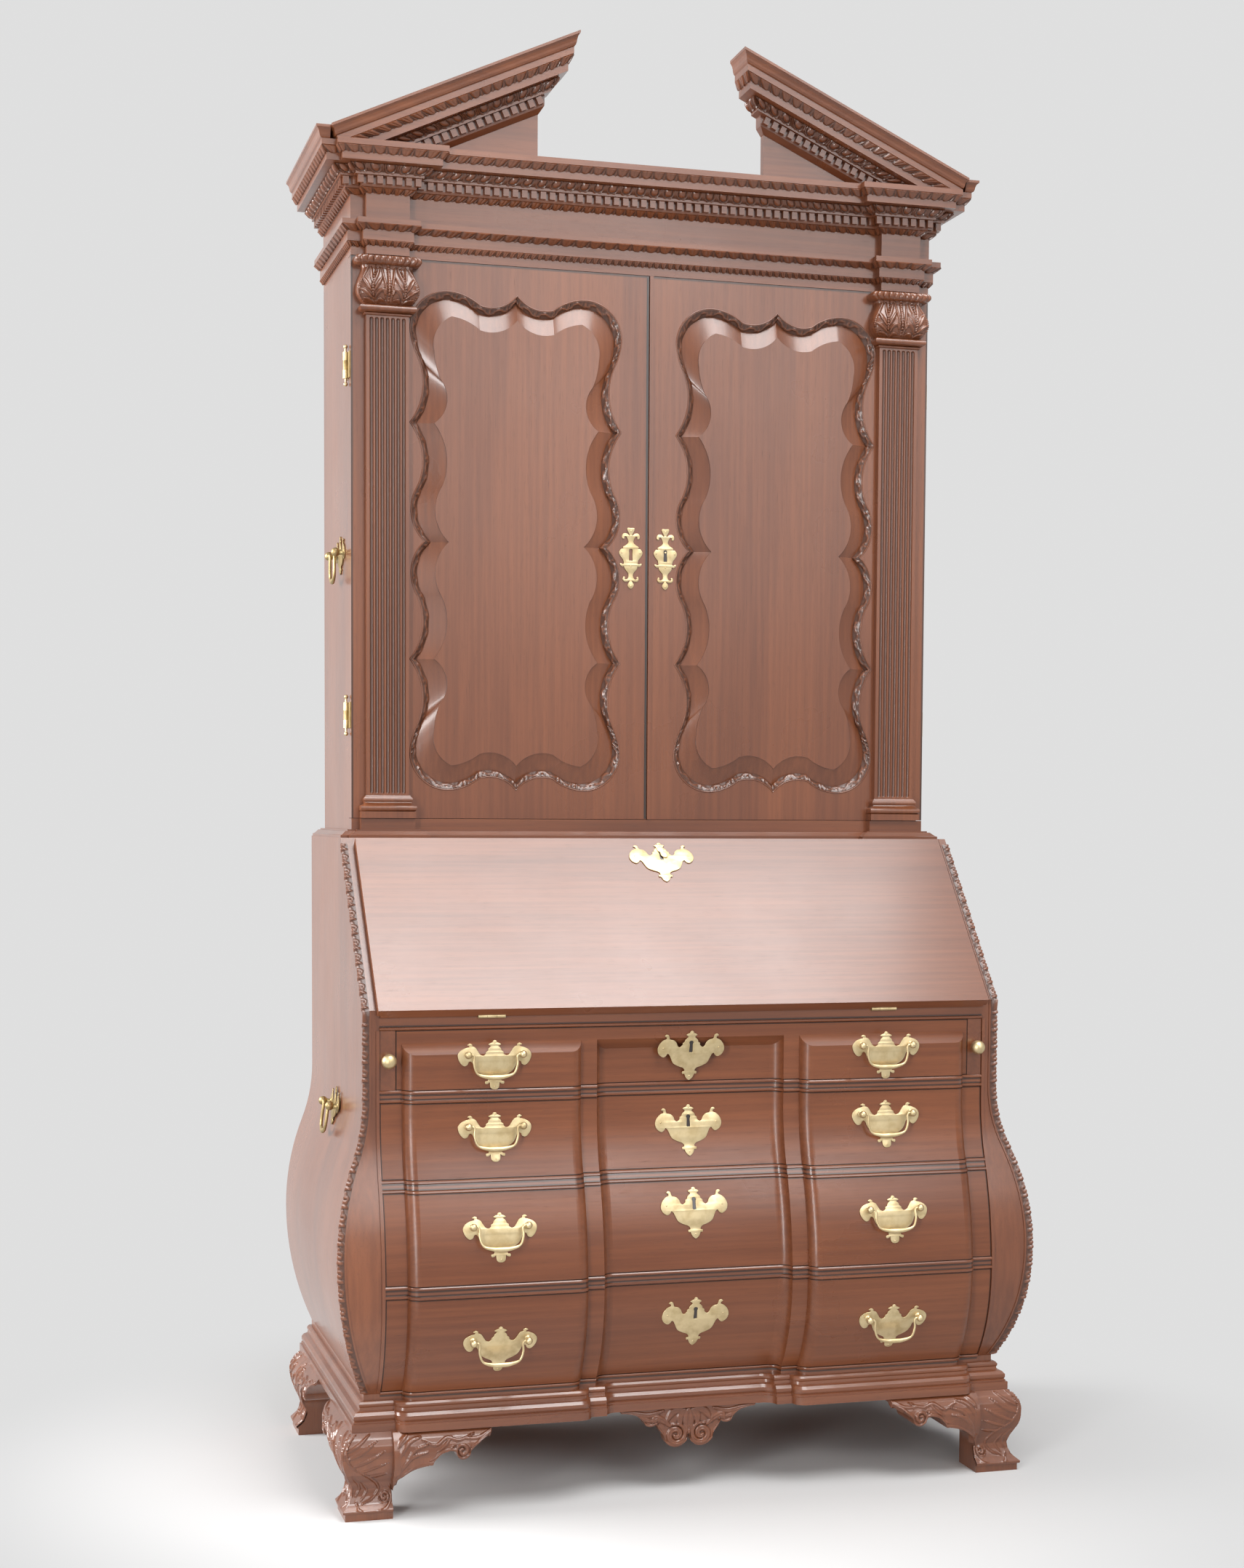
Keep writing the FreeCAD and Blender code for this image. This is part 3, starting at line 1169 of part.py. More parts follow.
def door_frame():
    """Stiles and the scalloped board between them."""
    inner, outer = DOOR_GAP / 2, CASE_HALF
    z0, z1 = DOOR_BOTTOM, DOOR_TOP
    cuts = [inner, MEETING_STILE, outer - OUTER_STILE, outer]
    hole = Part.Face(panel_wire(0, CASE_FRONT)).extrude(V(0, DOOR_THICKNESS, 0))
    pieces = [box(x0, x1, -CASE_FRONT, -DOOR_BACK, z0, z1).cut(hole) for x0, x1 in zip(cuts, cuts[1:])]
    return pieces


def door_panel():
    """Moulding that slopes in round the opening, and the raised panel behind it."""
    share = PANEL_MOULDING / PANEL_BEVEL
    sunk = CASE_FRONT - PANEL_SUNK
    moulding = Part.Face(panel_wire(0, CASE_FRONT)).extrude(V(0, PANEL_SUNK, 0))
    moulding = moulding.cut(loft([panel_wire(PANEL_LIP / PANEL_BEVEL, CASE_FRONT), panel_wire(share, sunk)]))
    board = Part.Face(panel_wire(0, sunk)).extrude(V(0, PANEL_BACK, 0))
    bevel = loft([panel_wire(share, sunk), panel_wire(1, CASE_FRONT)])
    field = Part.Face(panel_wire(1, CASE_FRONT + FIELD_STEP)).extrude(V(0, FIELD_STEP, 0))
    return [moulding, union([board, bevel, field])]


def pilaster_wire(out, z):
    """Plan of a pilaster's base or capital."""
    half = PILASTER_HALF + out
    front = -CASE_FRONT - PILASTER_PROUD - out
    points = [(PILASTER_X - half, -CASE_FRONT), (PILASTER_X - half, front), (PILASTER_X + half, front),
              (PILASTER_X + half, -CASE_FRONT)]
    return outline(points[0], lines(points[1:]), lambda p: V(p[0], p[1], z))


def pilaster():
    """Fluted shaft, moulded base and bell-shaped capital on the right door."""
    foot = DOOR_BOTTOM
    base_top = foot + PILASTER_BASE[-1][1]
    top = DOOR_TOP - CAPITAL_GAP
    bell = top - PILASTER_CAPITAL
    neck = bell - NECK_PROFILE[-1][1]
    base = layered(PILASTER_BASE, lambda out, height: pilaster_wire(out, foot + height))
    y = -CASE_FRONT - PILASTER_PROUD
    shaft = box(PILASTER_X - PILASTER_HALF, PILASTER_X + PILASTER_HALF, y, -CASE_FRONT, base_top, neck)
    span = 2 * (PILASTER_HALF - FLUTE_MARGIN)
    for index in range(FLUTES):
        x = PILASTER_X - span / 2 + span * index / (FLUTES - 1)
        shaft = shaft.cut(rod(V(x, y, base_top + FLUTE_STOP), V(x, y, neck - FLUTE_STOP), FLUTE_RADIUS))
    under = top - ABACUS_HEIGHT
    rise = under - bell
    swell = [(out, neck + height) for out, height in NECK_PROFILE]
    swell += [(out, bell + rise * share) for out, share in BELL_PROFILE]
    capital = layered(swell + [(ABACUS_OUT, under), (ABACUS_OUT, top)], pilaster_wire)
    return [base, shaft, capital]


def door_hinge(level, on_door):
    """Leaf and knuckles of a right door hinge: the middle knuckle turns with the door."""
    axis = V(DOOR_AXIS_X, -DOOR_BACK, level)
    half = DOOR_HINGE_LENGTH / 2
    third = DOOR_HINGE_LENGTH / 6
    clear = HINGE_BARREL + HINGE_GAP
    x0, x1 = CASE_HALF, CASE_HALF + HINGE_LEAF
    bore = rod(axis - V(0, 0, half), axis + V(0, 0, half), HINGE_PIN + PIN_GAP)
    if on_door:
        leaf = box(x0, x1, axis.y - DOOR_HINGE_LEAF, axis.y - clear, level - half, level + half)
        tab = box(x0, x1, axis.y - clear, axis.y - HINGE_GAP, level - third, level + third)
        knuckle = rod(axis - V(0, 0, third), axis + V(0, 0, third), HINGE_BARREL)
        return union([leaf, tab, knuckle]).cut(bore)
    leaf = box(x0, x1, axis.y + clear, axis.y + DOOR_HINGE_LEAF, level - half, level + half)
    inner = V(0, 0, half - HINGE_BARREL / 2)
    pieces = [leaf, rod(axis - inner, axis + inner, HINGE_PIN)]
    for side in (-1, 1):
        near, far = side * (third + HINGE_GAP), side * half
        low, high = level + min(near, far), level + max(near, far)
        pieces.append(rod(axis + V(0, 0, near), axis + V(0, 0, far), HINGE_BARREL))
        pieces.append(box(x0, x1, axis.y + HINGE_GAP, axis.y + clear, low, high))
        tip = axis + V(0, 0, far)
        ball = tip + V(0, 0, side * (FINIAL_LENGTH - FINIAL_RADIUS))
        pieces.append(rod(tip, ball, FINIAL_RADIUS / 2))
        pieces.append(Part.makeSphere(FINIAL_RADIUS, ball))
    return union(pieces)


def door_hinge_levels():
    """Heights of the door hinges."""
    return [DOOR_BOTTOM + up for up in DOOR_HINGE_UP]


def door_brass():
    """Key plate, lock and hinge leaves of the right door."""
    z = DOOR_BOTTOM + DOOR_PLATE_UP
    plate = shaped_plate(DOOR_PLATE_OUTLINE, DOOR_PLATE_HALF, DOOR_PLATE_TALL, DOOR_PLATE_TALL)
    plate = seated(plate, V(DOOR_PLATE_X, -CASE_FRONT, z), V(0, -1, 0), V(0, 0, 1))
    reach = LOCK_WIDTH / 2
    lock = box(DOOR_GAP, LOCK_HEIGHT, -DOOR_BACK, LOCK_DEPTH - DOOR_BACK, z - reach, z + reach)
    return [plate, lock] + [door_hinge(level, True) for level in door_hinge_levels()]


def astragal():
    """The bead along the right door's meeting edge."""
    proud = -CASE_FRONT - ASTRAGAL_PROUD
    return [box(DOOR_GAP / 2, ASTRAGAL_WIDTH, proud, -CASE_FRONT, DOOR_BOTTOM, DOOR_TOP)]


def case_hinge_leaves():
    """Leaves, knuckles and pins that stay on the cases."""
    pieces = []
    for level in door_hinge_levels():
        pieces += both(door_hinge(level, False))
    for x in (-FALL_HINGE_X, FALL_HINGE_X):
        pieces.append(fall_hinge(False).translated(FALL_AXIS + V(x, 0, 0)))
    return pieces


# Pigeonholes


def nest():
    """Open pigeonholes standing on the writing board."""
    floor = WRITING_LEVEL
    top = floor + NEST_HEIGHT
    half = DESK_INSIDE
    back = -BACK_BOARD
    pieces = both(box(half - NEST_BOARD, half, -NEST_FRONT, back, floor, top - NEST_BOARD))
    pieces.append(box(-half, half, -NEST_FRONT, back, top - NEST_BOARD, top))
    inner = half - NEST_BOARD
    shelf = floor + NEST_SHELF
    pieces.append(box(-inner, inner, -NEST_FRONT, back, shelf, shelf + NEST_BOARD))
    reach = NEST_BOARD / 2
    for x in nest_walls()[1:-1]:
        pieces.append(box(x - reach, x + reach, -NEST_FRONT, back, shelf + NEST_BOARD, top - NEST_BOARD))
    return pieces


def nest_walls():
    """Middles of the pigeonholes' upright boards."""
    half = DESK_INSIDE - NEST_BOARD / 2
    return [2 * half * index / NEST_COLUMNS - half for index in range(NEST_COLUMNS + 1)]


def build():
    """Every node of the piece, by name."""
    nodes = {}
    strip = corner_strip()
    side = desk_side(strip)
    nodes["desk_side_right"] = [side]
    nodes["desk_side_left"] = [mirrored(side)]
    nodes["corner_mouldings"] = both(strip)
    nodes["desk_top_and_bottom"] = desk_boards()
    nodes["writing_board"] = writing_board()
    nodes["back_boards"] = back_boards()
    nodes["drawer_dividers"] = drawer_rails()
    nodes["drawer_runners"] = runners()
    nodes["base_moulding"] = base_moulding()
    feet = front_foot()
    nodes["front_feet"] = feet + [mirrored(piece) for piece in feet]
    feet = rear_foot()
    nodes["rear_feet"] = feet + [mirrored(piece) for piece in feet]
    nodes["pendant_drop"] = drop()
    nodes["pigeonhole_nest"] = nest()
    nodes["waist_moulding"] = waist_moulding()
    nodes["bookcase_side_right"] = [bookcase_side()]
    nodes["bookcase_side_left"] = [mirrored(bookcase_side())]
    nodes["bookcase_boards"] = bookcase_boards()
    nodes["architrave_and_frieze"] = frieze()
    nodes["cornice"] = cornice()
    half = pediment()
    nodes["pediment_right"] = half
    nodes["pediment_left"] = [mirrored(piece) for piece in half]
    nodes["case_hinge_leaves"] = case_hinge_leaves()
    for name, pieces in (("frame", door_frame()), ("panel", door_panel()), ("pilaster", pilaster()),
                         ("brass", door_brass())):
        nodes["door_right_" + name] = pieces
        nodes["door_left_" + name] = [mirrored(piece) for piece in pieces]
    nodes["door_astragal"] = astragal()
    nodes["fall_front"] = fall_front()
    nodes["fall_front_brass"] = fall_brass()
    nodes["keyhole_cover"] = key_cover()
    nodes["loper_right"] = [loper()]
    nodes["loper_left"] = [mirrored(loper())]
    nodes["loper_knob_right"] = loper_knob()
    nodes["loper_knob_left"] = [mirrored(piece) for piece in loper_knob()]
    block = swelled_block()
    for index in range(len(OPENINGS)):
        name = "drawer_%d" % (index + 1)
        front = drawer_front(block, index)
        nodes[name] = [front] + drawer_box(index)
        nodes[name + "_brass"] = drawer_brass(index, front)
        left, right = pull_spots(index)
        nodes[name + "_bail_left"] = [hung_bail(DRAWER_PULL, left)]
        nodes[name + "_bail_right"] = [hung_bail(DRAWER_PULL, right)]
    mounts = []
    for name, place in (("upper", CARRY_UPPER), ("lower", CARRY_LOWER)):
        spot = side_spot(*place, CARRY_PULL.up + CARRY_PULL.down)
        for piece in pull_posts(CARRY_PULL):
            mounts += both(seated(piece, *spot).cut(side.translated(V(SEAT_GAP, 0, 0))))
        ring = hung_bail(CARRY_PULL, spot)
        nodes["carrying_bail_%s_right" % name] = [ring]
        nodes["carrying_bail_%s_left" % name] = [mirrored(ring)]
    nodes["carrying_handle_plates"] = mounts
    return nodes


NODES = build()
WHOLE = Part.makeCompound([piece for pieces in NODES.values() for piece in pieces])
BOUNDS = WHOLE.optimalBoundingBox(False, False)
CENTRE = V(0, -(BOUNDS.YMin + BOUNDS.YMax) / 2, 0)
os.makedirs("parts", exist_ok=True)
for node, pieces in NODES.items():
    shape = Part.makeCompound(pieces) if len(pieces) > 1 else pieces[0]
    shape.translated(CENTRE).exportStep("parts/%s.step" % node)
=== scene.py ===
"""Looks of the bureau bookcase: figured mahogany, pine linings, carving and pale brass."""
import logging
import math
from dataclasses import dataclass
from enum import Enum
from functools import cache, partial
from typing import Any, Callable, ClassVar, Iterable, Sequence

import bmesh
import bpy
import numpy as np
from mathutils import Matrix, Vector


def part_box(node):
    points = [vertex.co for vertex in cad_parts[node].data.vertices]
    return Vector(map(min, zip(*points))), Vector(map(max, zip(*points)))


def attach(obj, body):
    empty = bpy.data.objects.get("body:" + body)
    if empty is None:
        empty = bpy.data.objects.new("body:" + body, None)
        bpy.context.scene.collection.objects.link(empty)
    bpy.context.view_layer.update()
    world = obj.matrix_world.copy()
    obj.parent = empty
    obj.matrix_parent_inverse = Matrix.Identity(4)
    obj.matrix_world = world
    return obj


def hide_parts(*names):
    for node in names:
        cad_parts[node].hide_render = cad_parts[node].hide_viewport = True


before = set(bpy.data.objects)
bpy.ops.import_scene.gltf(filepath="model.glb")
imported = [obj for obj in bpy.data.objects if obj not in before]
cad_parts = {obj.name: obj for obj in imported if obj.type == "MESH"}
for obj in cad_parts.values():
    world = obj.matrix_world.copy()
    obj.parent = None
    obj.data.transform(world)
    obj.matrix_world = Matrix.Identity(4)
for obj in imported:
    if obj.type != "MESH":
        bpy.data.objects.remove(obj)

LOG = logging.getLogger("bureau")
MM = 0.001
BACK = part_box("back_boards")[1].y
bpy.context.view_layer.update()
SURROUND = 0.74
# Name of the attribute that carved finishes read to darken hollows with painted shade: 0 in hollows, 1 on heights.
RELIEF = "relief"
Point = tuple[float, float]
Place = tuple[float, float, float]
Colour = tuple[float, float, float, float]


class Slot(Enum):
    """Material slots of the record."""

    MAHOGANY = "mahogany"
    BRASS = "brass"


class Grain(Enum):
    """The way the grain of a board runs."""

    ACROSS = 0
    DEEP = 1
    UPRIGHT = 2

    def waves(self, along: float, across: float) -> tuple[float, ...]:
        """Waves per metre on each axis for a pattern drawn out along the grain."""
        return tuple(along if axis == self.value else across for axis in range(3))


class Value:
    """A shader value that Python operators turn into Math nodes."""

    def __init__(self, sheet: "NodeSheet", socket: bpy.types.NodeSocket) -> None:
        """Wrap one output socket."""
        self.sheet = sheet
        self.socket = socket

    def maths(self, operation: str, *others: Any) -> "Value":
        """The result of a Math node whose operands are this value and the others."""
        return self.sheet.value("ShaderNodeMath", {"operation": operation}, dict(enumerate((self, *others))))

    def __add__(self, other: Any) -> "Value":
        """Sum."""
        return self.maths("ADD", other)

    __radd__ = __add__

    def __mul__(self, other: Any) -> "Value":
        """Product."""
        return self.maths("MULTIPLY", other)

    __rmul__ = __mul__

    def __sub__(self, other: Any) -> "Value":
        """Difference."""
        return self.maths("SUBTRACT", other)

    def __rsub__(self, other: Any) -> "Value":
        """Difference from the left."""
        return (self * -1.0) + other

    def span(self, low: float, high: float) -> "Value":
        """Smooth step from 0 at low to 1 at high."""
        inputs = {"Value": self, "From Min": low, "From Max": high}
        return self.sheet.value("ShaderNodeMapRange", {"interpolation_type": "SMOOTHSTEP"}, inputs)


class NodeSheet:
    """The node tree of one finish."""

    def __init__(self, name: str) -> None:
        """Start a material with an empty tree.

        Args:
            name: name of the material.
        """
        self.material = bpy.data.materials.new(name)
        self.material.use_nodes = True
        self.tree = self.material.node_tree
        self.tree.nodes.clear()

    @classmethod
    def of(cls, tree: bpy.types.NodeTree) -> "NodeSheet":
        """Empty a tree that is there already and take it over.

        Args:
            tree: the tree.

        Returns:
            The sheet over it.
        """
        sheet = cls.__new__(cls)
        sheet.tree = tree
        tree.nodes.clear()
        return sheet

    def node(self, kind: str, settings: dict[str, Any] | None = None,
             inputs: dict[Any, Any] | None = None) -> bpy.types.Node:
        """Add a node.

        Args:
            kind: the node's type.
            settings: properties, which are set first.
            inputs: values or links of its sockets.

        Returns:
            The new node.
        """
        made = self.tree.nodes.new(kind)
        for key, setting in (settings or {}).items():
            setattr(made, key, setting)
        for key, given in (inputs or {}).items():
            socket = made.inputs[key]
            if isinstance(given, Value):
                self.tree.links.new(given.socket, socket)
            elif isinstance(given, bpy.types.NodeSocket):
                self.tree.links.new(given, socket)
            else:
                socket.default_value = given
        return made

    def value(self, kind: str, settings: dict[str, Any] | None = None,
              inputs: dict[Any, Any] | None = None, output: Any = 0) -> Value:
        """Add a node and wrap one of its outputs."""
        return Value(self, self.node(kind, settings, inputs).outputs[output])

    def place(self) -> bpy.types.NodeSocket:
        """Where a point lies on the piece at rest."""
        return self.node("ShaderNodeTexCoord").outputs["Object"]

    def axis(self, name: str) -> Value:
        """One coordinate of a point on the piece at rest."""
        return self.value("ShaderNodeSeparateXYZ", None, {0: self.place()}, name)

    def facing(self, name: str) -> Value:
        """How far a face looks along one axis, from -1 to 1."""
        normal = self.node("ShaderNodeTexCoord").outputs["Normal"]
        return self.value("ShaderNodeSeparateXYZ", None, {0: normal}, name)

    def noise(self, scale: float | Sequence[float], detail: float, shift: Sequence[float] = (0, 0, 0),
              distort: float = 0.0) -> Value:
        """Noise stretched along the axes.

        Args:
            scale: waves per metre, the same all ways or along each axis.
            detail: octaves.
            shift: move of the pattern.
            distort: how far the pattern is bent.

        Returns:
            A value between 0 and 1.
        """
        waves = tuple(float(wave) for wave in np.broadcast_to(scale, 3))
        mapping = self.node("ShaderNodeMapping", None, {"Vector": self.place(), "Scale": waves, "Location": shift})
        inputs = {"Vector": mapping.outputs[0], "Scale": 1.0, "Detail": detail, "Distortion": distort}
        return self.value("ShaderNodeTexNoise", None, inputs)

    def bump(self, height: Value, strength: float, distance: float) -> bpy.types.NodeSocket:
        """The normal of an uneven surface, from its height of 0 to 1 and that height's size in metres."""
        inputs = {"Strength": strength, "Distance": distance, "Height": height}
        return self.node("ShaderNodeBump", None, inputs).outputs[0]

    def blend(self, share: Any, first: Any, second: Any) -> bpy.types.NodeSocket:
        """Two colours or links mixed by the share of the second."""
        return self.node("ShaderNodeMix", {"data_type": "RGBA"}, {0: share, 6: first, 7: second}).outputs[2]

    def shader(self, inputs: dict[str, Any]) -> bpy.types.Material:
        """Finish the tree with one surface shader.

        Args:
            inputs: values or links of the shader's sockets.

        Returns:
            The material.
        """
        surface = self.node("ShaderNodeBsdfPrincipled", None, inputs)
        self.node("ShaderNodeOutputMaterial", None, {"Surface": surface.outputs[0]})
        return self.material


def seen_ray(sheet: NodeSheet) -> Value:
    """Tell rays that show the surroundings to the eye, to gloss or through glass.

    Args:
        sheet: the tree.

    Returns:
        1 on those rays and 0 on others.
    """
    rays = sheet.node("ShaderNodeLightPath").outputs
    first, *others = [Value(sheet, rays[f"Is {kind} Ray"]) for kind in ("Camera", "Glossy", "Transmission")]
    for other in others:
        first = first.maths("MAXIMUM", other)
    return first


def linear(level: float) -> float:
    """One channel in linear light, from a screen value of 0 to 255."""
    share = level / 255.0
    return share / 12.92 if share <= 0.04045 else ((share + 0.055) / 1.055) ** 2.4


def tint(red: float, green: float, blue: float) -> Colour:
    """A colour from screen values of 0 to 255."""
    return (linear(red), linear(green), linear(blue), 1.0)


@dataclass(frozen=True)
class Mahogany:
    """Polished mahogany whose grain runs one way.

    Waves are per metre, along and across the grain. With a lining, the wood behind that depth is pine. Painted shadow
    lines run along the given levels and, where ends is set, at that distance from the middle, to darken the gaps
    there.
    Where carved, the hollows of the carving are darkened with painted shade.
    """

    slot: ClassVar[Slot] = Slot.MAHOGANY
    name: str
    grain: Grain = Grain.ACROSS
    pale: Colour = tint(130, 76, 47)
    deep: Colour = tint(98, 54, 33)
    pore: Colour = tint(56, 31, 20)
    # Colour of the painted shade in the hollows of carving.
    hollow_shade: Colour = tint(52, 30, 20)
    shadow: Colour = tint(26, 15, 10)
    rough: float = 0.3
    wax_rough: float = 0.22
    pore_rough: float = 0.1
    hollow_shade_rough: float = 0.25
    lining_rough: float = 0.3
    coat: float = 0.5
    coat_rough: float = 0.15
    bump: float = 0.12
    bump_high: float = 0.4
    carved: bool = False
    lining: float = 0.0
    lines: tuple[float, ...] = ()
    ends: float = 0.0
    line: float = 2.0
    line_core: float = 0.4
    line_depth: float = 0.8
    figure_waves: Point = (0.9, 7.0)
    stripe_waves: Point = (3.2, 140.0)
    pore_waves: Point = (38.0, 1250.0)
    wax_waves: float = 4.5
    figure_share: float = 0.6
    pore_share: float = 0.45
    hollow_shade_share: float = 0.72

    def make(self) -> bpy.types.Material:
        """Build the finish.

        Returns:
            The material.
        """
        sheet = NodeSheet(self.name)
        figure = sheet.noise(self.grain.waves(*self.figure_waves), 4.0, distort=0.8).span(0.25, 0.75)
        stripe = sheet.noise(self.grain.waves(*self.stripe_waves), 3.0, (3.1, 1.7, 5.3)).span(0.3, 0.75)
        pores = sheet.noise(self.grain.waves(*self.pore_waves), 2.0, (0.4, 0.8, 0.2)).span(0.58, 0.78)
        wax = sheet.noise(self.wax_waves, 5.0, (9.0, 4.0, 7.0))
        body = sheet.blend(figure * self.figure_share + stripe * (1.0 - self.figure_share), self.deep, self.pale)
        colour = sheet.blend(pores * self.pore_share, body, self.pore)
        rough = (wax - 0.5) * self.wax_rough + pores * self.pore_rough + self.rough
        # Carved finishes darken the hollows of the carving with painted shade, read from the relief of each point.
        if self.carved:
            hollow = 1.0 - sheet.value("ShaderNodeAttribute", {"attribute_name": RELIEF}, None, "Fac").span(0.1, 0.75)
            colour = sheet.blend(hollow * self.hollow_shade_share, colour, self.hollow_shade)
            rough = rough + hollow * self.hollow_shade_rough
        # Painted shadow lines along the gaps, where any are given.
        colour = self.shadow_lined(sheet, colour)
        if self.lining:
            behind = sheet.axis("Y").span(self.lining - MM, self.lining + MM)
            colour = sheet.blend(behind, colour, Pine("").colour(sheet, Grain.DEEP))
            rough = rough + behind * self.lining_rough
        return sheet.shader({"Base Color": colour, "Roughness": rough,
                             "Normal": sheet.bump(1.0 - pores, self.bump, self.bump_high * MM),
                             "Coat Weight": 0.0 if self.lining else self.coat, "Coat Roughness": self.coat_rough,
                             "Specular IOR Level": 0.5})

    def shadow_lined(self, sheet: NodeSheet, colour: bpy.types.NodeSocket) -> bpy.types.NodeSocket:
        """Draw the painted shadow lines over a colour.

        Args:
            sheet: the tree.
            colour: what lies under them.

        Returns:
            The colour with the lines.
        """
        gaps = [sheet.axis("Z") - level for level in self.lines]
        front: Any = 1.0
        if self.ends:
            gaps.append(sheet.axis("X").maths("ABSOLUTE") - self.ends)
            front = sheet.facing("Y").maths("ABSOLUTE").span(0.35, 0.5)
        # Each line is painted shadow, darkest at its middle.
        for gap in gaps:
            near = gap.maths("ABSOLUTE").span(self.line * MM, self.line_core * self.line * MM)
            colour = sheet.blend(near * self.line_depth * front, colour, self.shadow)
        return colour


@dataclass(frozen=True)
class Pine:
    """Plain pine of the linings and the back."""

    name: str
    grain: Grain = Grain.UPRIGHT
    pale: Colour = tint(196, 154, 104)
    ring: Colour = tint(158, 112, 68)
    stain: Colour = tint(124, 92, 62)
    waves: Point = (1.6, 46.0)
    stain_waves: float = 3.0
    fibre_waves: float = 300.0
    stain_share: float = 0.45
    rough: float = 0.62
    fibre_rough: float = 0.2
    bump: float = 0.1
    bump_high: float = 0.4

    def colour(self, sheet: NodeSheet, grain: Grain) -> bpy.types.NodeSocket:
        """Colour of planed pine with its rings.

        Args:
            sheet: the tree.
            grain: the way its grain runs.

        Returns:
            The colour.
        """
        rings = sheet.noise(grain.waves(*self.waves), 3.0, (2.0, 6.0, 1.0), 0.4).span(0.35, 0.75)
        stain = sheet.noise(self.stain_waves, 4.0).span(0.3, 0.8)
        return sheet.blend(stain * self.stain_share, sheet.blend(rings, self.pale, self.ring), self.stain)

    def make(self) -> bpy.types.Material:
        """Build the finish.

        Returns:
            The material.
        """
        sheet = NodeSheet(self.name)
        fibre = sheet.noise(self.fibre_waves, 2.0)
        return sheet.shader({"Base Color": self.colour(sheet, self.grain),
                             "Roughness": self.rough + (fibre - 0.5) * self.fibre_rough,
                             "Normal": sheet.bump(fibre, self.bump, self.bump_high * MM)})


@dataclass(frozen=True)
class Brass:
    """Pale rubbed brass, darker and duller in clouds where grime gathers."""

    slot: ClassVar[Slot] = Slot.BRASS
    name: str
    bright: Colour = tint(216, 197, 156)
    dull: Colour = tint(170, 147, 105)
    rough: float = 0.4
    dull_share: float = 0.6
    dull_rough: float = 0.14
    dull_waves: float = 60.0
    cast_waves: float = 900.0
    bump: float = 0.06
    bump_high: float = 0.3

    def make(self) -> bpy.types.Material:
        """Build the finish.

        Returns:
            The material.
        """
        sheet = NodeSheet(self.name)
        cloud = sheet.noise(self.dull_waves, 5.0).span(0.35, 0.75)
        cast = sheet.noise(self.cast_waves, 2.0)
        return sheet.shader({"Base Color": sheet.blend(cloud * self.dull_share, self.bright, self.dull),
                             "Metallic": 1.0, "Roughness": self.rough + cloud * self.dull_rough,
                             "Normal": sheet.bump(cast, self.bump, self.bump_high * MM)})


@dataclass(frozen=True)
class Pale:
    """Plain pale floor that fades into the even surroundings."""

    name: str
    dark: Colour = tint(208, 208, 208)
    light: Colour = tint(215, 215, 215)
    waves: float = 1.4
    rough: float = 0.85
    near: float = 0.55
    far: float = 1.25

    def make(self) -> bpy.types.Material:
        """Build the finish.

        Returns:
            The material.
        """
        sheet = NodeSheet(self.name)
        black, even = tint(0, 0, 0), (SURROUND, SURROUND, SURROUND, 1.0)
        paper = sheet.blend(sheet.noise(self.waves, 4.0), self.dark, self.light)
        reach = sheet.value("ShaderNodeVectorMath", {"operation": "LENGTH"}, {0: sheet.place()}, "Value")
        away = reach.span(self.near, self.far) * seen_ray(sheet)
        return sheet.shader({"Base Color": sheet.blend(away, paper, black), "Roughness": self.rough,
                             "Specular IOR Level": 0.0, "Emission Strength": 1.0,
                             "Emission Color": sheet.blend(away, black, even)})


@cache
def material_of(finish: Any) -> bpy.types.Material:
    """The material of a finish, which is made once."""
    return finish.make()


@dataclass(frozen=True)
class Lamp:
    """A soft box: its place and aim, the size of its face, its power in watts and its spread in degrees."""

    name: str
    place: Place
    aim: Place
    size: Point
    power: float
    spread: float = 180.0

    def hang(self) -> None:
        """Put it into the scene."""
        data = bpy.data.lights.new(self.name, "AREA")
        data.shape = "RECTANGLE"
        data.size, data.size_y = self.size
        data.energy = self.power
        data.spread = math.radians(self.spread)
        lamp = bpy.data.objects.new(self.name, data)
        lamp.location = self.place
        lamp.rotation_euler = (Vector(self.aim) - Vector(self.place)).to_track_quat("-Z", "Y").to_euler()
        bpy.context.scene.collection.objects.link(lamp)


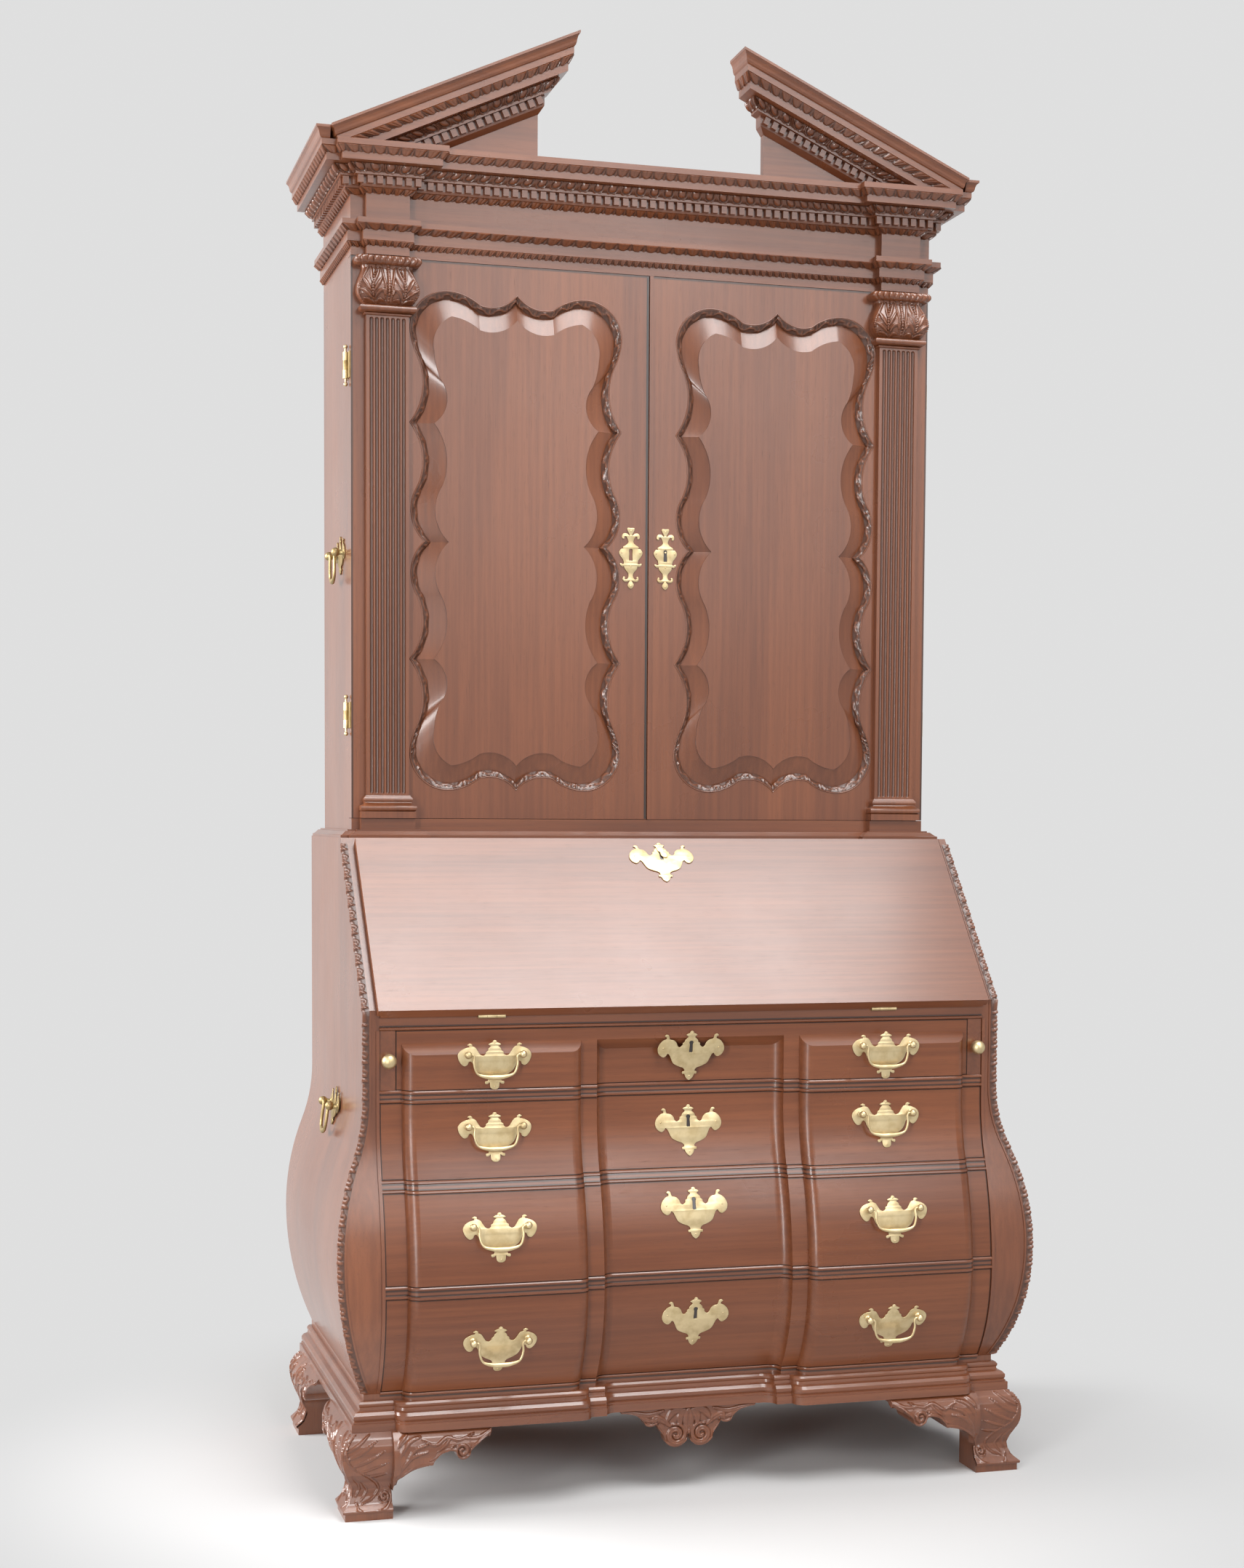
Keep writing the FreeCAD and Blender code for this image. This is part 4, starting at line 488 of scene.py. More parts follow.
@dataclass
class Studio:
    """Floor, surroundings, lamps and the camera of the photograph."""

    station: Place = (-1138.86, -4147.62, 1113.92)
    yaw: float = 0.276158
    pitch: float = -0.0589963
    roll: float = 0.00536
    focal: float = 3175.39
    height: int = 2156
    centre: Point = (-3.97, 227.34)
    sensor: float = 36.0
    sight: float = 60.0
    ambient: float = 0.1
    floor_reach: float = 40.0
    floor_sides: int = 64
    lamps: tuple[Lamp, ...] = (Lamp("key", (-4.2, 1.0, 2.4), (-0.6, 0.0, 1.2), (2.4, 2.4), 300.0),
                               Lamp("top", (0.75, -2.1, 4.7), (0.75, -2.0, 0.0), (2.6, 2.9), 215.0),
                               Lamp("strip", (-3.0, -3.4, 1.5), (0.0, -0.3, 0.8), (0.7, 2.6), 100.0),
                               Lamp("front", (1.3, -4.6, 2.9), (0.0, -0.3, 0.7), (2.4, 2.4), 7.0, 50.0))

    def camera(self) -> None:
        """Set the camera at the photograph's place and angle."""
        ahead = Vector((math.sin(self.yaw) * math.cos(self.pitch), math.cos(self.yaw) * math.cos(self.pitch),
                        math.sin(self.pitch)))
        right = Vector((math.cos(self.yaw), -math.sin(self.yaw), 0.0))
        up = right.cross(ahead)
        turned = right * math.cos(self.roll) + up * math.sin(self.roll)
        raised = up * math.cos(self.roll) - right * math.sin(self.roll)
        data = bpy.data.cameras.new("photograph")
        data.sensor_fit = "AUTO"
        data.sensor_width = self.sensor
        data.lens = self.focal / self.height * data.sensor_width
        data.shift_x = -self.centre[0] / self.height
        data.shift_y = self.centre[1] / self.height
        data.clip_end = self.sight
        camera = bpy.data.objects.new("photograph", data)
        matrix = Matrix((turned, raised, -ahead)).transposed().to_4x4()
        matrix.translation = spot(*self.station)
        camera.matrix_world = matrix
        bpy.context.scene.collection.objects.link(camera)
        bpy.context.scene.camera = camera

    def world(self) -> None:
        """Even pale surroundings."""
        world = bpy.data.worlds.new("studio")
        bpy.context.scene.world = world
        world.use_nodes = True
        sheet = NodeSheet.of(world.node_tree)
        level = seen_ray(sheet) * (SURROUND - self.ambient) + self.ambient
        sky = sheet.node("ShaderNodeBackground", None, {"Color": (1.0, 1.0, 1.0, 1.0), "Strength": level})
        sheet.node("ShaderNodeOutputWorld", None, {"Surface": sky.outputs[0]})

    def floor(self) -> None:
        """A round pale floor."""
        edge = [math.tau * index / self.floor_sides for index in range(self.floor_sides)]
        verts = [(self.floor_reach * math.cos(turn), self.floor_reach * math.sin(turn), 0.0) for turn in edge]
        mesh = bpy.data.meshes.new("floor")
        mesh.from_pydata(verts, [], [tuple(range(self.floor_sides))])
        floor = bpy.data.objects.new("floor", mesh)
        mesh.materials.append(material_of(Pale("floor_paper")))
        bpy.context.scene.collection.objects.link(floor)

    def build(self) -> None:
        """Set up everything round the object."""
        bpy.context.scene.view_settings.view_transform = "Standard"
        self.camera()
        for lamp in self.lamps:
            lamp.hang()
        self.world()
        self.floor()


def spot(x: float, y: float, z: float) -> Vector:
    """A point in metres from one in millimetres whose y counts from the back."""
    return Vector((x * MM, y * MM + BACK, z * MM))


Grid = np.ndarray
# Sizes that several pieces share, in millimetres, with y counted from the back.
CASE_HALF = 515.0
CASE_FRONT = 297.6
DOOR_FOOT = 1103.2
DESK_HALF = 539.0
DESK_FRONT = 566.0
FALL_HINGE = (-569.4, 790.0)
FALL_SLANT = math.radians(50.3)
FEET_TOP = 137.0
DRAWERS = tuple(f"drawer_{number}" for number in range(1, 5))
# Directions, the turn in degrees from which an edge is sharp, and what counts as nothing.
AHEAD = (0.0, -1.0, 0.0)
RIGHTWARD = (1.0, 0.0, 0.0)
UPWARD = (0.0, 0.0, 1.0)
CREASE = 52.0
TINY = 1e-9
# Finishes of the pieces made here.
UPRIGHT = Mahogany("upright_mahogany", Grain.UPRIGHT)
CARVED = Mahogany("carved_mahogany", Grain.ACROSS, carved=True)
CARVED_UPRIGHT = Mahogany("carved_upright_mahogany", Grain.UPRIGHT, carved=True)
# Near-black mahogany: painted shadow in the keyholes and in the gap where the doors meet.
SHADOW = Mahogany("keyhole_shadow", Grain.UPRIGHT, tint(44, 32, 26), tint(30, 22, 18), tint(20, 15, 12))
BRASS = Brass("rubbed_brass")
# A darker copy of the brass for the hinges and the carrying handles on the sides of the cases: painted shade.
SHADED_BRASS = Brass("shaded_brass", tint(178, 156, 112), tint(116, 98, 66), 0.42)


def unit(rows: Grid) -> Grid:
    """Vectors at length 1."""
    return rows / np.maximum(np.linalg.norm(rows, axis=-1, keepdims=True), TINY)


def dome(share: Grid) -> Grid:
    """A rounded back: 1 in the middle and 0 from a share of 1 on."""
    return np.sqrt(np.clip(1 - share ** 2, 0, 1))


def faded(share: Grid) -> Grid:
    """1 at a share of 0, falling straight to 0 at a share of 1."""
    return np.clip(1 - share, 0, 1)


def at_depth(line: Grid, y: float) -> Grid:
    """Points of a drawn line of (x, z) at one depth."""
    return np.stack((line[:, 0], np.full(len(line), y), line[:, 1]), -1)


def arc(start: Sequence[float], through: Sequence[float], end: Sequence[float], count: int) -> Grid:
    """Points along the arc through three points.

    Args:
        start: first point.
        through: a point on the way.
        end: last point.
        count: how many points are wanted.

    Returns:
        The points as rows.
    """
    a, b, c = (np.array(point, float) for point in (start, through, end))
    weight = 2 * (a[0] * (b[1] - c[1]) + b[0] * (c[1] - a[1]) + c[0] * (a[1] - b[1]))
    aa, bb, cc = a @ a, b @ b, c @ c
    middle = np.array([aa * (b[1] - c[1]) + bb * (c[1] - a[1]) + cc * (a[1] - b[1]),
                       aa * (c[0] - b[0]) + bb * (a[0] - c[0]) + cc * (b[0] - a[0])]) / weight
    angles = [math.atan2(*(point - middle)[::-1]) for point in (a, b, c)]
    turn = (angles[2] - angles[0]) % math.tau
    if (angles[1] - angles[0]) % math.tau > turn:
        turn -= math.tau
    sweep = angles[0] + turn * np.linspace(0, 1, count)
    return middle + np.linalg.norm(a - middle) * np.stack((np.cos(sweep), np.sin(sweep)), 1)


def path(start: Sequence[float], steps: Sequence[Sequence[Sequence[float]]], count: int) -> Grid:
    """Points along steps of one point (a line) or two points (an arc).

    Args:
        start: first point.
        steps: the steps.
        count: points to each step.

    Returns:
        The points as rows.
    """
    rows = []
    here = np.array(start, float)
    for step in steps:
        if len(step) == 2:
            rows.append(arc(here, step[0], step[1], count + 1)[:-1])
        else:
            share = np.linspace(0, 1, count + 1)[:-1, None]
            rows.append(here + share * (np.array(step[0], float) - here))
        here = np.array(step[-1], float)
    return np.concatenate(rows + [here[None]])


def smooth(points: Sequence[Sequence[float]], count: int, closed: bool = False) -> Grid:
    """A smooth curve through points.

    Args:
        points: what it passes through.
        count: points to each stretch.
        closed: whether it returns to its start.

    Returns:
        The points as rows.
    """
    given = np.array(points, float)
    padded = np.concatenate((given[-1:], given, given[:2])) if closed else np.concatenate(
        (2 * given[:1] - given[1:2], given, 2 * given[-1:] - given[-2:-1]))
    t = np.linspace(0, 1, count + 1)[:-1, None]
    rows = []
    for before, first, second, after in zip(padded, padded[1:], padded[2:], padded[3:]):
        rows.append(0.5 * (2 * first + (second - before) * t + (2 * before - 5 * first + 4 * second - after) * t ** 2
                           + (3 * first - before - 3 * second + after) * t ** 3))
    return np.concatenate(rows if closed else rows + [given[-1:]])


def across_of(base: Grid, outward: Sequence[float]) -> Grid:
    """Unit normals of a grid of points, on the side of a direction."""
    normal = unit(np.cross(np.gradient(base, axis=0), np.gradient(base, axis=1)))
    return normal if np.sum(normal @ np.array(outward, float)) > 0 else -normal


def hollows(height: Grid, reach: int = 5, depth: float = 1.3) -> Grid:
    """How far each point of a carved field lies below its surroundings, 0 to 1.

    Args:
        height: the field.
        reach: how many steps of smoothing give the surroundings.
        depth: what counts as fully sunk, in millimetres.

    Returns:
        0 on heights and plain ground, 1 in hollows.
    """
    around = np.pad(height, reach, mode="edge")
    for _ in range(reach):
        around = (around + np.roll(around, 1, 0) + np.roll(around, -1, 0) + np.roll(around, 1, 1)
                  + np.roll(around, -1, 1)) / 5
    return np.clip((around[reach:-reach, reach:-reach] - height) / depth, 0, 1)


class Form:
    """Gathers the faces of a piece in millimetres, with y counted from the back."""

    def __init__(self) -> None:
        """Start with none."""
        self.points: list[Grid] = []
        self.relief: list[Grid] = []
        self.faces: list[Sequence[int]] = []
        self.count = 0

    def add(self, points: Grid, faces: Iterable[Sequence[int]], relief: Grid | None = None) -> None:
        """Take in some faces.

        Args:
            points: rows of points.
            faces: corners of each face, as rows of those points.
            relief: 0 in hollows to 1 on heights, for each point; carved finishes darken the hollows from it with
                painted shade.
        """
        self.faces += [[corner + self.count for corner in face] for face in faces]
        self.points.append(points)
        self.relief.append(np.ones(len(points)) if relief is None else relief)
        self.count += len(points)

    def tube(self, rings: Grid, relief: Grid | None = None, looped: bool = False) -> None:
        """Skin a run of closed sections.

        Args:
            rings: sections by points by 3.
            relief: a value for each point.
            looped: whether the last section joins the first; otherwise both ends are capped.
        """
        many, around = rings.shape[:2]
        index = np.arange(many * around).reshape(many, around)
        first = np.vstack((index, index[:1])) if looped else index
        following = np.roll(first, -1, axis=1)
        faces = np.stack((first[:-1], following[:-1], following[1:], first[1:]), -1).reshape(-1, 4).tolist()
        if not looped:
            faces += [index[0].tolist(), index[-1].tolist()]
        self.add(rings.reshape(-1, 3), faces, None if relief is None else relief.reshape(-1))

    def carve(self, base: Grid, height: Grid, outward: Sequence[float], sink: float = 1.5,
              looped: bool = False, bent: bool = False, ground: float = 0.0) -> None:
        """Raise carving on a grid of points and close it behind.

        Args:
            base: runs by rows by 3.
            height: how far each point stands out.
            outward: the side on which it stands out.
            sink: how far the back lies inside.
            looped: whether the last run joins the first.
            bent: whether the back follows each row.
            ground: how dark the flat ground between the raised parts is painted, as painted shade.
        """
        normal = across_of(base, outward)
        front = base + normal * height[..., None]
        behind = (base - normal * sink)[:, ::-1] if bent else (base - normal * sink)[:, [-1, 0]]
        # Painted shade: hollows and, by ground, the low flat ground get a low relief, which darkens them.
        sunk = ground * (1 - (height - height.min()) / max(float(np.ptp(height)), TINY))
        share = 1 - np.maximum(hollows(height), sunk)
        rings = np.concatenate((front, behind), axis=1)
        self.tube(rings, np.concatenate((share, np.ones(behind.shape[:2])), axis=1), looped)

    def rod(self, line: Grid, thick: Grid | float, sides: int = 10, flat: float = 1.0) -> None:
        """A round bar along a line.

        Args:
            line: rows of points.
            thick: its radius, or one for each point.
            sides: how many sides it has.
            flat: its depth as a share of its height.
        """
        ahead = unit(np.gradient(line, axis=0))
        level = np.abs(ahead[:, 1]).max() < 0.8
        side = unit(np.cross(ahead, np.array((0.0, 1.0, 0.0) if level else (0.31, 0.0, 0.95))))
        up = np.cross(side, ahead)
        turn = np.linspace(0, math.tau, sides + 1)[:-1]
        radius = np.broadcast_to(np.asarray(thick, float), (len(line),))[:, None, None]
        ring = np.cos(turn)[None, :, None] * side[:, None] + flat * np.sin(turn)[None, :, None] * up[:, None]
        self.tube(line[:, None] + radius * ring)

    def ball(self, centre: Sequence[float], radius: float, squash: Sequence[float] = (1, 1, 1)) -> None:
        """A ball or a flattened boss.

        Args:
            centre: its middle.
            radius: its size.
            squash: shares of the radius along each axis.
        """
        rise = (np.linspace(-0.985, 0.985, 9) * math.pi / 2)[:, None]
        turn = np.linspace(0, math.tau, 15)[:-1]
        wide = np.cos(rise)
        ring = np.stack(np.broadcast_arrays(wide * np.cos(turn), wide * np.sin(turn), np.sin(rise)), -1)
        self.tube(np.array(centre, float) + radius * np.array(squash, float) * ring)

    def block(self, low: Place, high: Place, place: Callable[[Grid], Grid] = np.asarray) -> None:
        """A plain block.

        Args:
            low: its left, near or far, lower corner.
            high: the corner across from that one.
            place: lays its points where they belong.
        """
        corners = ((low[0], low[2]), (high[0], low[2]), (high[0], high[2]), (low[0], high[2]))
        rings = np.array([(x, y, z) for y in (low[1], high[1]) for x, z in corners])
        self.tube(place(rings).reshape(2, 4, 3))

    def moved(self, change: Callable[[Grid], Grid]) -> "Form":
        """Copy the form and change its points.

        Args:
            change: gives the new points from the old.

        Returns:
            The copy.
        """
        copy = Form()
        copy.points = [change(points) for points in self.points]
        copy.relief, copy.faces, copy.count = list(self.relief), list(self.faces), self.count
        return copy

    def join(self, other: "Form") -> "Form":
        """Take in another form."""
        self.add(np.concatenate(other.points), other.faces, np.concatenate(other.relief))
        return self

    def mirrored(self) -> "Form":
        """The twin on the other side of the middle."""
        return self.moved(lambda points: points * np.array((-1.0, 1.0, 1.0)))

    def pair(self, name: str, finish: Any, body: str = "cabinet", hides: str = "", crease: float = CREASE) -> None:
        """Make the twin on the left and this one on the right; braces in the names stand for the side."""
        for side, form in (("left", self.mirrored()), ("right", self)):
            form.piece(name.format(side), finish, body.format(side), hides.format(side), crease)

    def piece(self, name: str, finish: Any, body: str = "cabinet", hides: str = "", crease: float = CREASE) -> None:
        """Make the object.

        Args:
            name: name of the piece.
            finish: what it is made of.
            body: the body that carries it.
            hides: the node whose place it takes, if any.
            crease: turn in degrees from which an edge is sharp.
        """
        points = np.concatenate(self.points) * MM
        points[:, 1] += BACK
        mesh = bpy.data.meshes.new(name)
        mesh.from_pydata(points.tolist(), [], self.faces)
        work = bmesh.new()
        work.from_mesh(mesh)
        bmesh.ops.recalc_face_normals(work, faces=work.faces)
        work.to_mesh(mesh)
        work.free()
        mesh.polygons.foreach_set("use_smooth", np.ones(len(mesh.polygons), bool))
        mesh.set_sharp_from_angle(angle=math.radians(crease))
        # The relief, which carved finishes turn into painted shade in the hollows.
        shade = mesh.attributes.new(RELIEF, "FLOAT", "POINT")
        shade.data.foreach_set("value", np.concatenate(self.relief).astype(np.float32))
        mesh.materials.append(material_of(finish))
        made = bpy.data.objects.new(name, mesh)
        bpy.context.scene.collection.objects.link(made)
        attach(made, body)
        if hides:
            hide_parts(hides)
        LOG.info("%s: %d faces on %s", name, len(mesh.polygons), body)


@dataclass(frozen=True)
class Eggs:
    """A row of eggs in rims with darts between them: widths in repeats, heights in millimetres."""

    half: float = 0.27
    middle: float = 0.62
    tall: float = 0.5
    high: float = 4.2
    rim: float = 1.4
    rim_wide: float = 0.17
    rim_high: float = 2.4
    dart: float = 0.08
    dart_high: float = 2.6

    def height(self, u: Grid, rise: Grid) -> Grid:
        """Carve the row.

        Args:
            u: way from the middle of a repeat, -0.5 to 0.5.
            rise: way up the moulding, 0 to 1.

        Returns:
            How far the carving stands out.
        """
        ring = np.hypot(u / self.half, (rise - self.middle) / self.tall)
        rim = self.rim_high * np.exp(-((ring - self.rim) / self.rim_wide) ** 2)
        dart = self.dart_high * faded((0.5 - np.abs(u)) / self.dart) * np.clip(rise * 3, 0, 1)
        return np.maximum(np.maximum(self.high * dome(ring), rim), dart)


@dataclass(frozen=True)
class Leaves:
    """A row of ribbed leaves with tongues between them: widths in repeats, heights in millimetres."""

    stalk: float = 0.16
    spread: float = 0.3
    high: float = 2.9
    rib: float = 0.07
    rib_deep: float = 1.1
    tongue: float = 0.1
    tongue_high: float = 1.9
    tongue_end: float = 1.3

    def height(self, u: Grid, rise: Grid) -> Grid:
        """Carve the row.

        Args:
            u: way from the middle of a repeat, -0.5 to 0.5.
            rise: way up the moulding, 0 to 1.

        Returns:
            How far the carving stands out.
        """
        wide = self.stalk + self.spread * np.sqrt(np.clip(rise, 0, 1))
        leaf = self.high * dome(u / wide) - self.rib_deep * np.exp(-(u / self.rib) ** 2)
        tongue = self.tongue_high * faded((0.5 - np.abs(u)) / self.tongue) * np.clip(self.tongue_end - rise, 0, 1)
        return np.maximum(np.maximum(leaf, tongue), 0)


@dataclass(frozen=True)
class Band:
    """One carved row between two edges of a moulding's profile, as (out, height)."""

    low: Point
    high: Point
    pitch: float
    pattern: Eggs | Leaves = Leaves()
    rows: int = 9
    steps: int = 15
    ground: float = 0.35
    # How dark the flat ground of the carving is painted: painted shade.
    shade: float = 0.9

    def run(self, form: Form, low: Sequence[Grid], high: Sequence[Grid], outward: Sequence[float]) -> None:
        """Carve one straight run.

        Args:
            form: takes the faces.
            low: both ends of the lower edge.
            high: both ends of the upper edge.
            outward: the way it faces.
        """
        low, high = np.array(low), np.array(high)
        length = float(np.linalg.norm(low[1] - low[0] + high[1] - high[0])) / 2
        s = np.linspace(0, 1, max(4, int(length / self.pitch * self.steps) + 2))[:, None, None]
        v = np.linspace(0, 1, self.rows)[None, :, None]
        lower, upper = (edge[0] + s * (edge[1] - edge[0]) for edge in (low, high))
        along, rise = np.broadcast_arrays((s[..., 0] - 0.5) * max(1.0, round(length / self.pitch)), v[..., 0])
        height = self.ground + self.pattern.height(along - np.round(along), rise)
        form.carve(lower + v * (upper - lower), height, outward, ground=self.shade)


@dataclass
class BookcaseHead:
    """Carved rows of the frieze, the cornice and the broken pediment."""

    half: float = CASE_HALF
    front: float = CASE_FRONT
    proud: float = 16.0
    outer: float = 491.5
    inner: float = 419.5
    frieze: float = 2032.0
    cornice: float = 2131.0
    deep: float = 70.5
    crown: float = 19.3
    crown_out: float = 66.0
    rake: float = math.radians(24.2)
    forward: float = 10.0
    wall: float = 4.0
    back_share: float = 0.86
    tympanum: float = 200.3
    joint: float = 0.5
    droop: float = -0.2
    frieze_bands: tuple[Band, ...] = (Band((0.0, 14.5), (6.0, 21.5), 12.0), Band((6.5, 39.0), (16.5, 47.0), 25.0))
    cornice_bands: tuple[Band, ...] = (Band((1.0, 0.0), (10.0, 7.4), 18.3),)
    upper_bands: tuple[Band, ...] = (Band((21.0, 28.6), (32.0, 39.4), 24.6, Eggs(), 11),
                                     Band((47.0, 51.7), (55.0, 61.0), 21.0))

    def plan(self, out: float) -> Grid:
        """Lay out the moulding's plan, from the left wall round the front to the right wall.

        Args:
            out: how far it stands out from the case.

        Returns:
            Its corners as rows of (x, y).
        """
        half, front = self.half + out, -self.front - out
        near, outer, inner = front - self.proud, self.outer + out, self.inner - out
        left = [(-half, 0.0), (-half, front), (-outer, front), (-outer, near), (-inner, near), (-inner, front)]
        return np.array(left + [(-x, y) for x, y in reversed(left)])

    def level(self, form: Form, band: Band, base: float) -> None:
        """Carve a band round the level moulding.

        Args:
            form: takes the faces.
            band: the carved row.
            base: level of the moulding's underside.
        """
        low, high = (np.insert(self.plan(out), 2, base + up, axis=1) for out, up in (band.low, band.high))
        for index, way in enumerate(np.diff(low, axis=0)):
            band.run(form, low[index:index + 2], high[index:index + 2], (way[1], -way[0], 0.0))

    def rake_level(self, x: float, height: float) -> float:
        """Find the level of an edge of the sloping moulding.

        Args:
            x: place across.
            height: the edge's height in the profile.

        Returns:
            The level.
        """
        below = self.deep + self.crown - height
        top = self.cornice + self.deep + self.crown
        return top + (self.outer + self.crown_out - x) * math.tan(self.rake) - below / math.cos(self.rake)

    def sloping(self, form: Form, band: Band) -> None:
        """Carve a band up the right half of the pediment and round its inner end.

        Args:
            form: takes the faces.
            band: the carved row.
        """
        floor = self.cornice + self.deep + self.joint
        ends, returns = [], []
        for out, height in (band.low, band.high):
            inner = self.tympanum - out * self.back_share
            y = -self.front - self.forward - out
            reach = inner + (self.rake_level(inner, height) - floor) / math.tan(self.rake)
            ends.append([(x, y, self.rake_level(x, height)) for x in (inner, min(reach, self.outer + out))])
            returns.append([ends[-1][0], (inner, self.wall - self.front, ends[-1][0][2])])
        band.run(form, *ends, (0.0, -1.0, self.droop))
        band.run(form, *returns, (-1.0, 0.0, self.droop))

    def build(self) -> None:
        """Carve everything above the doors."""
        for name, bands, base in (("frieze_carving", self.frieze_bands, self.frieze),
                                  ("cornice_carving", self.cornice_bands + self.upper_bands, self.cornice)):
            form = Form()
            for band in bands:
                self.level(form, band, base)
            form.piece(name, CARVED)
        right = Form()
        for band in self.upper_bands:
            self.sloping(right, band)
        right.pair("pediment_carving_{}", CARVED)


@dataclass(frozen=True)
class Stroke:
    """A carved leaf or stem drawn along a line, broadest in its middle, with a vein where it is broad."""

    line: tuple[Point, ...]
    wide: float
    tip: float
    high: float
    start: float = 0.45
    belly: float = 2.2
    vein: float = 0.42
    vein_wide: float = 0.2
    veined: float = 3.5

    def over(self, u: Grid, t: Grid) -> Grid:
        """Its height at points of a flat field.

        Args:
            u: the points' way across.
            t: their way down.

        Returns:
            Heights in millimetres.
        """
        points = smooth(self.line, 7)
        share = np.linspace(0, 1, len(points))
        width = self.wide * (self.start + self.belly * share * (1 - share))
        width += (self.tip - self.start * self.wide) * share
        gap = np.hypot(u[..., None] - points[:, 0], t[..., None] - points[:, 1])
        near = (gap / width).min(axis=-1)
        vein = self.vein * np.exp(-(near / self.vein_wide) ** 2) if self.wide > self.veined else 0.0
        return self.high * np.clip(dome(near) - vein * (near < 1), 0, 1)


def spiral(centre: Point, radius: float, start: float, turns: float) -> tuple[Point, ...]:
    """Points of a scroll that winds in.

    Args:
        centre: its eye.
        radius: its reach at the start.
        start: angle of its start.
        turns: how often it winds, below 0 the other way.

    Returns:
        The points.
    """
    share = np.linspace(0, 1, max(6, int(abs(turns) * 9)))
    angle = start + math.tau * turns * share
    reach = radius * (1 - 0.82 * share)
    return tuple((centre[0] + r * math.cos(a), centre[1] + r * math.sin(a)) for r, a in zip(reach, angle))


def strokes_height(strokes: Sequence[Stroke], u: Grid, t: Grid) -> Grid:
    """Height of a carved field: the highest stroke wins."""
    u, t = np.broadcast_arrays(u, t)
    return np.max([stroke.over(u, t) for stroke in strokes], axis=0)


@dataclass
class Pilaster:
    """Fluted shaft, moulded base and leafy capital on a door; profiles are (out, height)."""

    x: float = 455.5
    face: float = CASE_FRONT
    half: float = 36.0
    proud: float = 12.0
    sink: float = 0.5
    foot: float = DOOR_FOOT
    neck: float = 1933.2
    flutes: int = 7
    flute: float = 3.3
    flute_shade: float = 0.9
    margin: float = 9.0
    stop: float = 6.0
    plain: float = 60.0
    base: tuple[Point, ...] = ((10.0, 0.0), (10.0, 11.0), (8.0, 11.5), (10.4, 13.0), (11.0, 15.0), (11.0, 19.0),
                               (10.2, 20.6), (7.0, 22.0), (4.4, 24.0), (3.5, 27.0), (5.2, 28.6), (5.5, 30.0),
                               (5.5, 33.0), (3.6, 35.0), (1.5, 37.8))
    collar: tuple[Point, ...] = ((0.0, 0.0), (3.0, 0.8), (3.6, 2.5), (3.0, 4.2), (1.5, 5.0), (8.0, 6.0), (11.0, 8.5),
                                 (11.6, 11.0), (11.0, 13.5), (8.5, 16.3), (3.0, 17.0))
    bell: tuple[Point, ...] = ((3.5, 17.0), (9.0, 24.0), (14.2, 32.0), (15.8, 40.0), (15.0, 49.0), (11.5, 60.0),
                               (7.5, 70.0), (5.5, 77.0), (6.5, 80.6))
    ruffle: tuple[Point, ...] = ((8.0, 80.7), (15.0, 82.0), (18.0, 86.0), (18.4, 90.0), (17.0, 94.5), (10.0, 96.0))
    teeth: int = 10
    tooth: float = 3.6
    around: int = 181
    leaf_size: Point = (52.0, 64.0)
    leaf: tuple[Stroke, ...] = (
        Stroke(((27, 0), (26, 30), (25, 62)), 2.4, 1.4, 3.4),
        Stroke(((0, 0), (0, 34), (1, 63)), 2.6, 2.2, 3.0),
        Stroke(((6, 2), (5, 24), (9, 44), (14, 63)), 2.0, 1.6, 2.8),
        Stroke(((24, 2), (17, 7), (9, 6)), 2.6, 1.4, 3.2),
        Stroke(((24, 9), (16, 19), (9, 22), (7, 15)), 2.8, 1.5, 3.6),
        Stroke(((24, 20), (17, 33), (12, 43)), 3.2, 1.2, 3.2),
        Stroke(((24, 35), (20, 49), (18, 60)), 2.8, 1.2, 2.8),
        Stroke(((29, 2), (37, 7), (45, 8)), 2.6, 1.4, 3.2),
        Stroke(((29, 9), (38, 18), (46, 23)), 3.0, 1.4, 3.6),
        Stroke(((29, 20), (37, 33), (43, 41)), 3.2, 1.2, 3.2),
        Stroke(((28, 35), (32, 49), (34, 60)), 2.8, 1.2, 2.8),
        Stroke(((49, 4), (48, 28), (43, 48), (39, 63)), 2.0, 1.6, 2.8))

    def square(self, profile: Sequence[Point], level: float) -> Grid:
        """Sections of a square moulding.

        Args:
            profile: its profile.
            level: where it starts.

        Returns:
            The sections.
        """
        rings = []
        for out, height in profile:
            half, front, back = self.half + out, -self.face - self.proud - out, self.sink - self.face
            corners = [(-half, back), (-half, front), (half, front), (half, back)]
            rings.append([(self.x + x, y, level + height) for x, y in corners])
        return np.array(rings)

    def rounded(self, profile: Sequence[Point], rows: int, carve: Callable[[Grid, Grid], Grid],
                square: float) -> tuple[Grid, Grid]:
        """Sections of a carved swelling with rounded corners.

        Args:
            profile: its profile.
            rows: how many sections.
            carve: height of the carving by way round, -1 to 1, and way up, 0 to 1.
            square: how square its corners are.

        Returns:
            The sections and their relief.
        """
        curve = np.array(profile)
        rise = np.linspace(0, 1, rows)[:, None]
        z = curve[0, 1] + rise * (curve[-1, 1] - curve[0, 1])
        way = np.sin(np.linspace(-1, 1, self.around) * math.pi / 2)
        forward = np.clip(1 - np.abs(way) ** square, 0, 1) ** (1 / square)
        high = carve(way + 0 * rise, rise + 0 * way)
        reach = np.interp(z, curve[:, 1], curve[:, 0]) + high
        x, y = self.x + (self.half + reach) * way, -self.face - (self.proud + reach) * forward
        return np.stack((x, y, self.neck + z + 0 * x), -1), 1 - hollows(high)

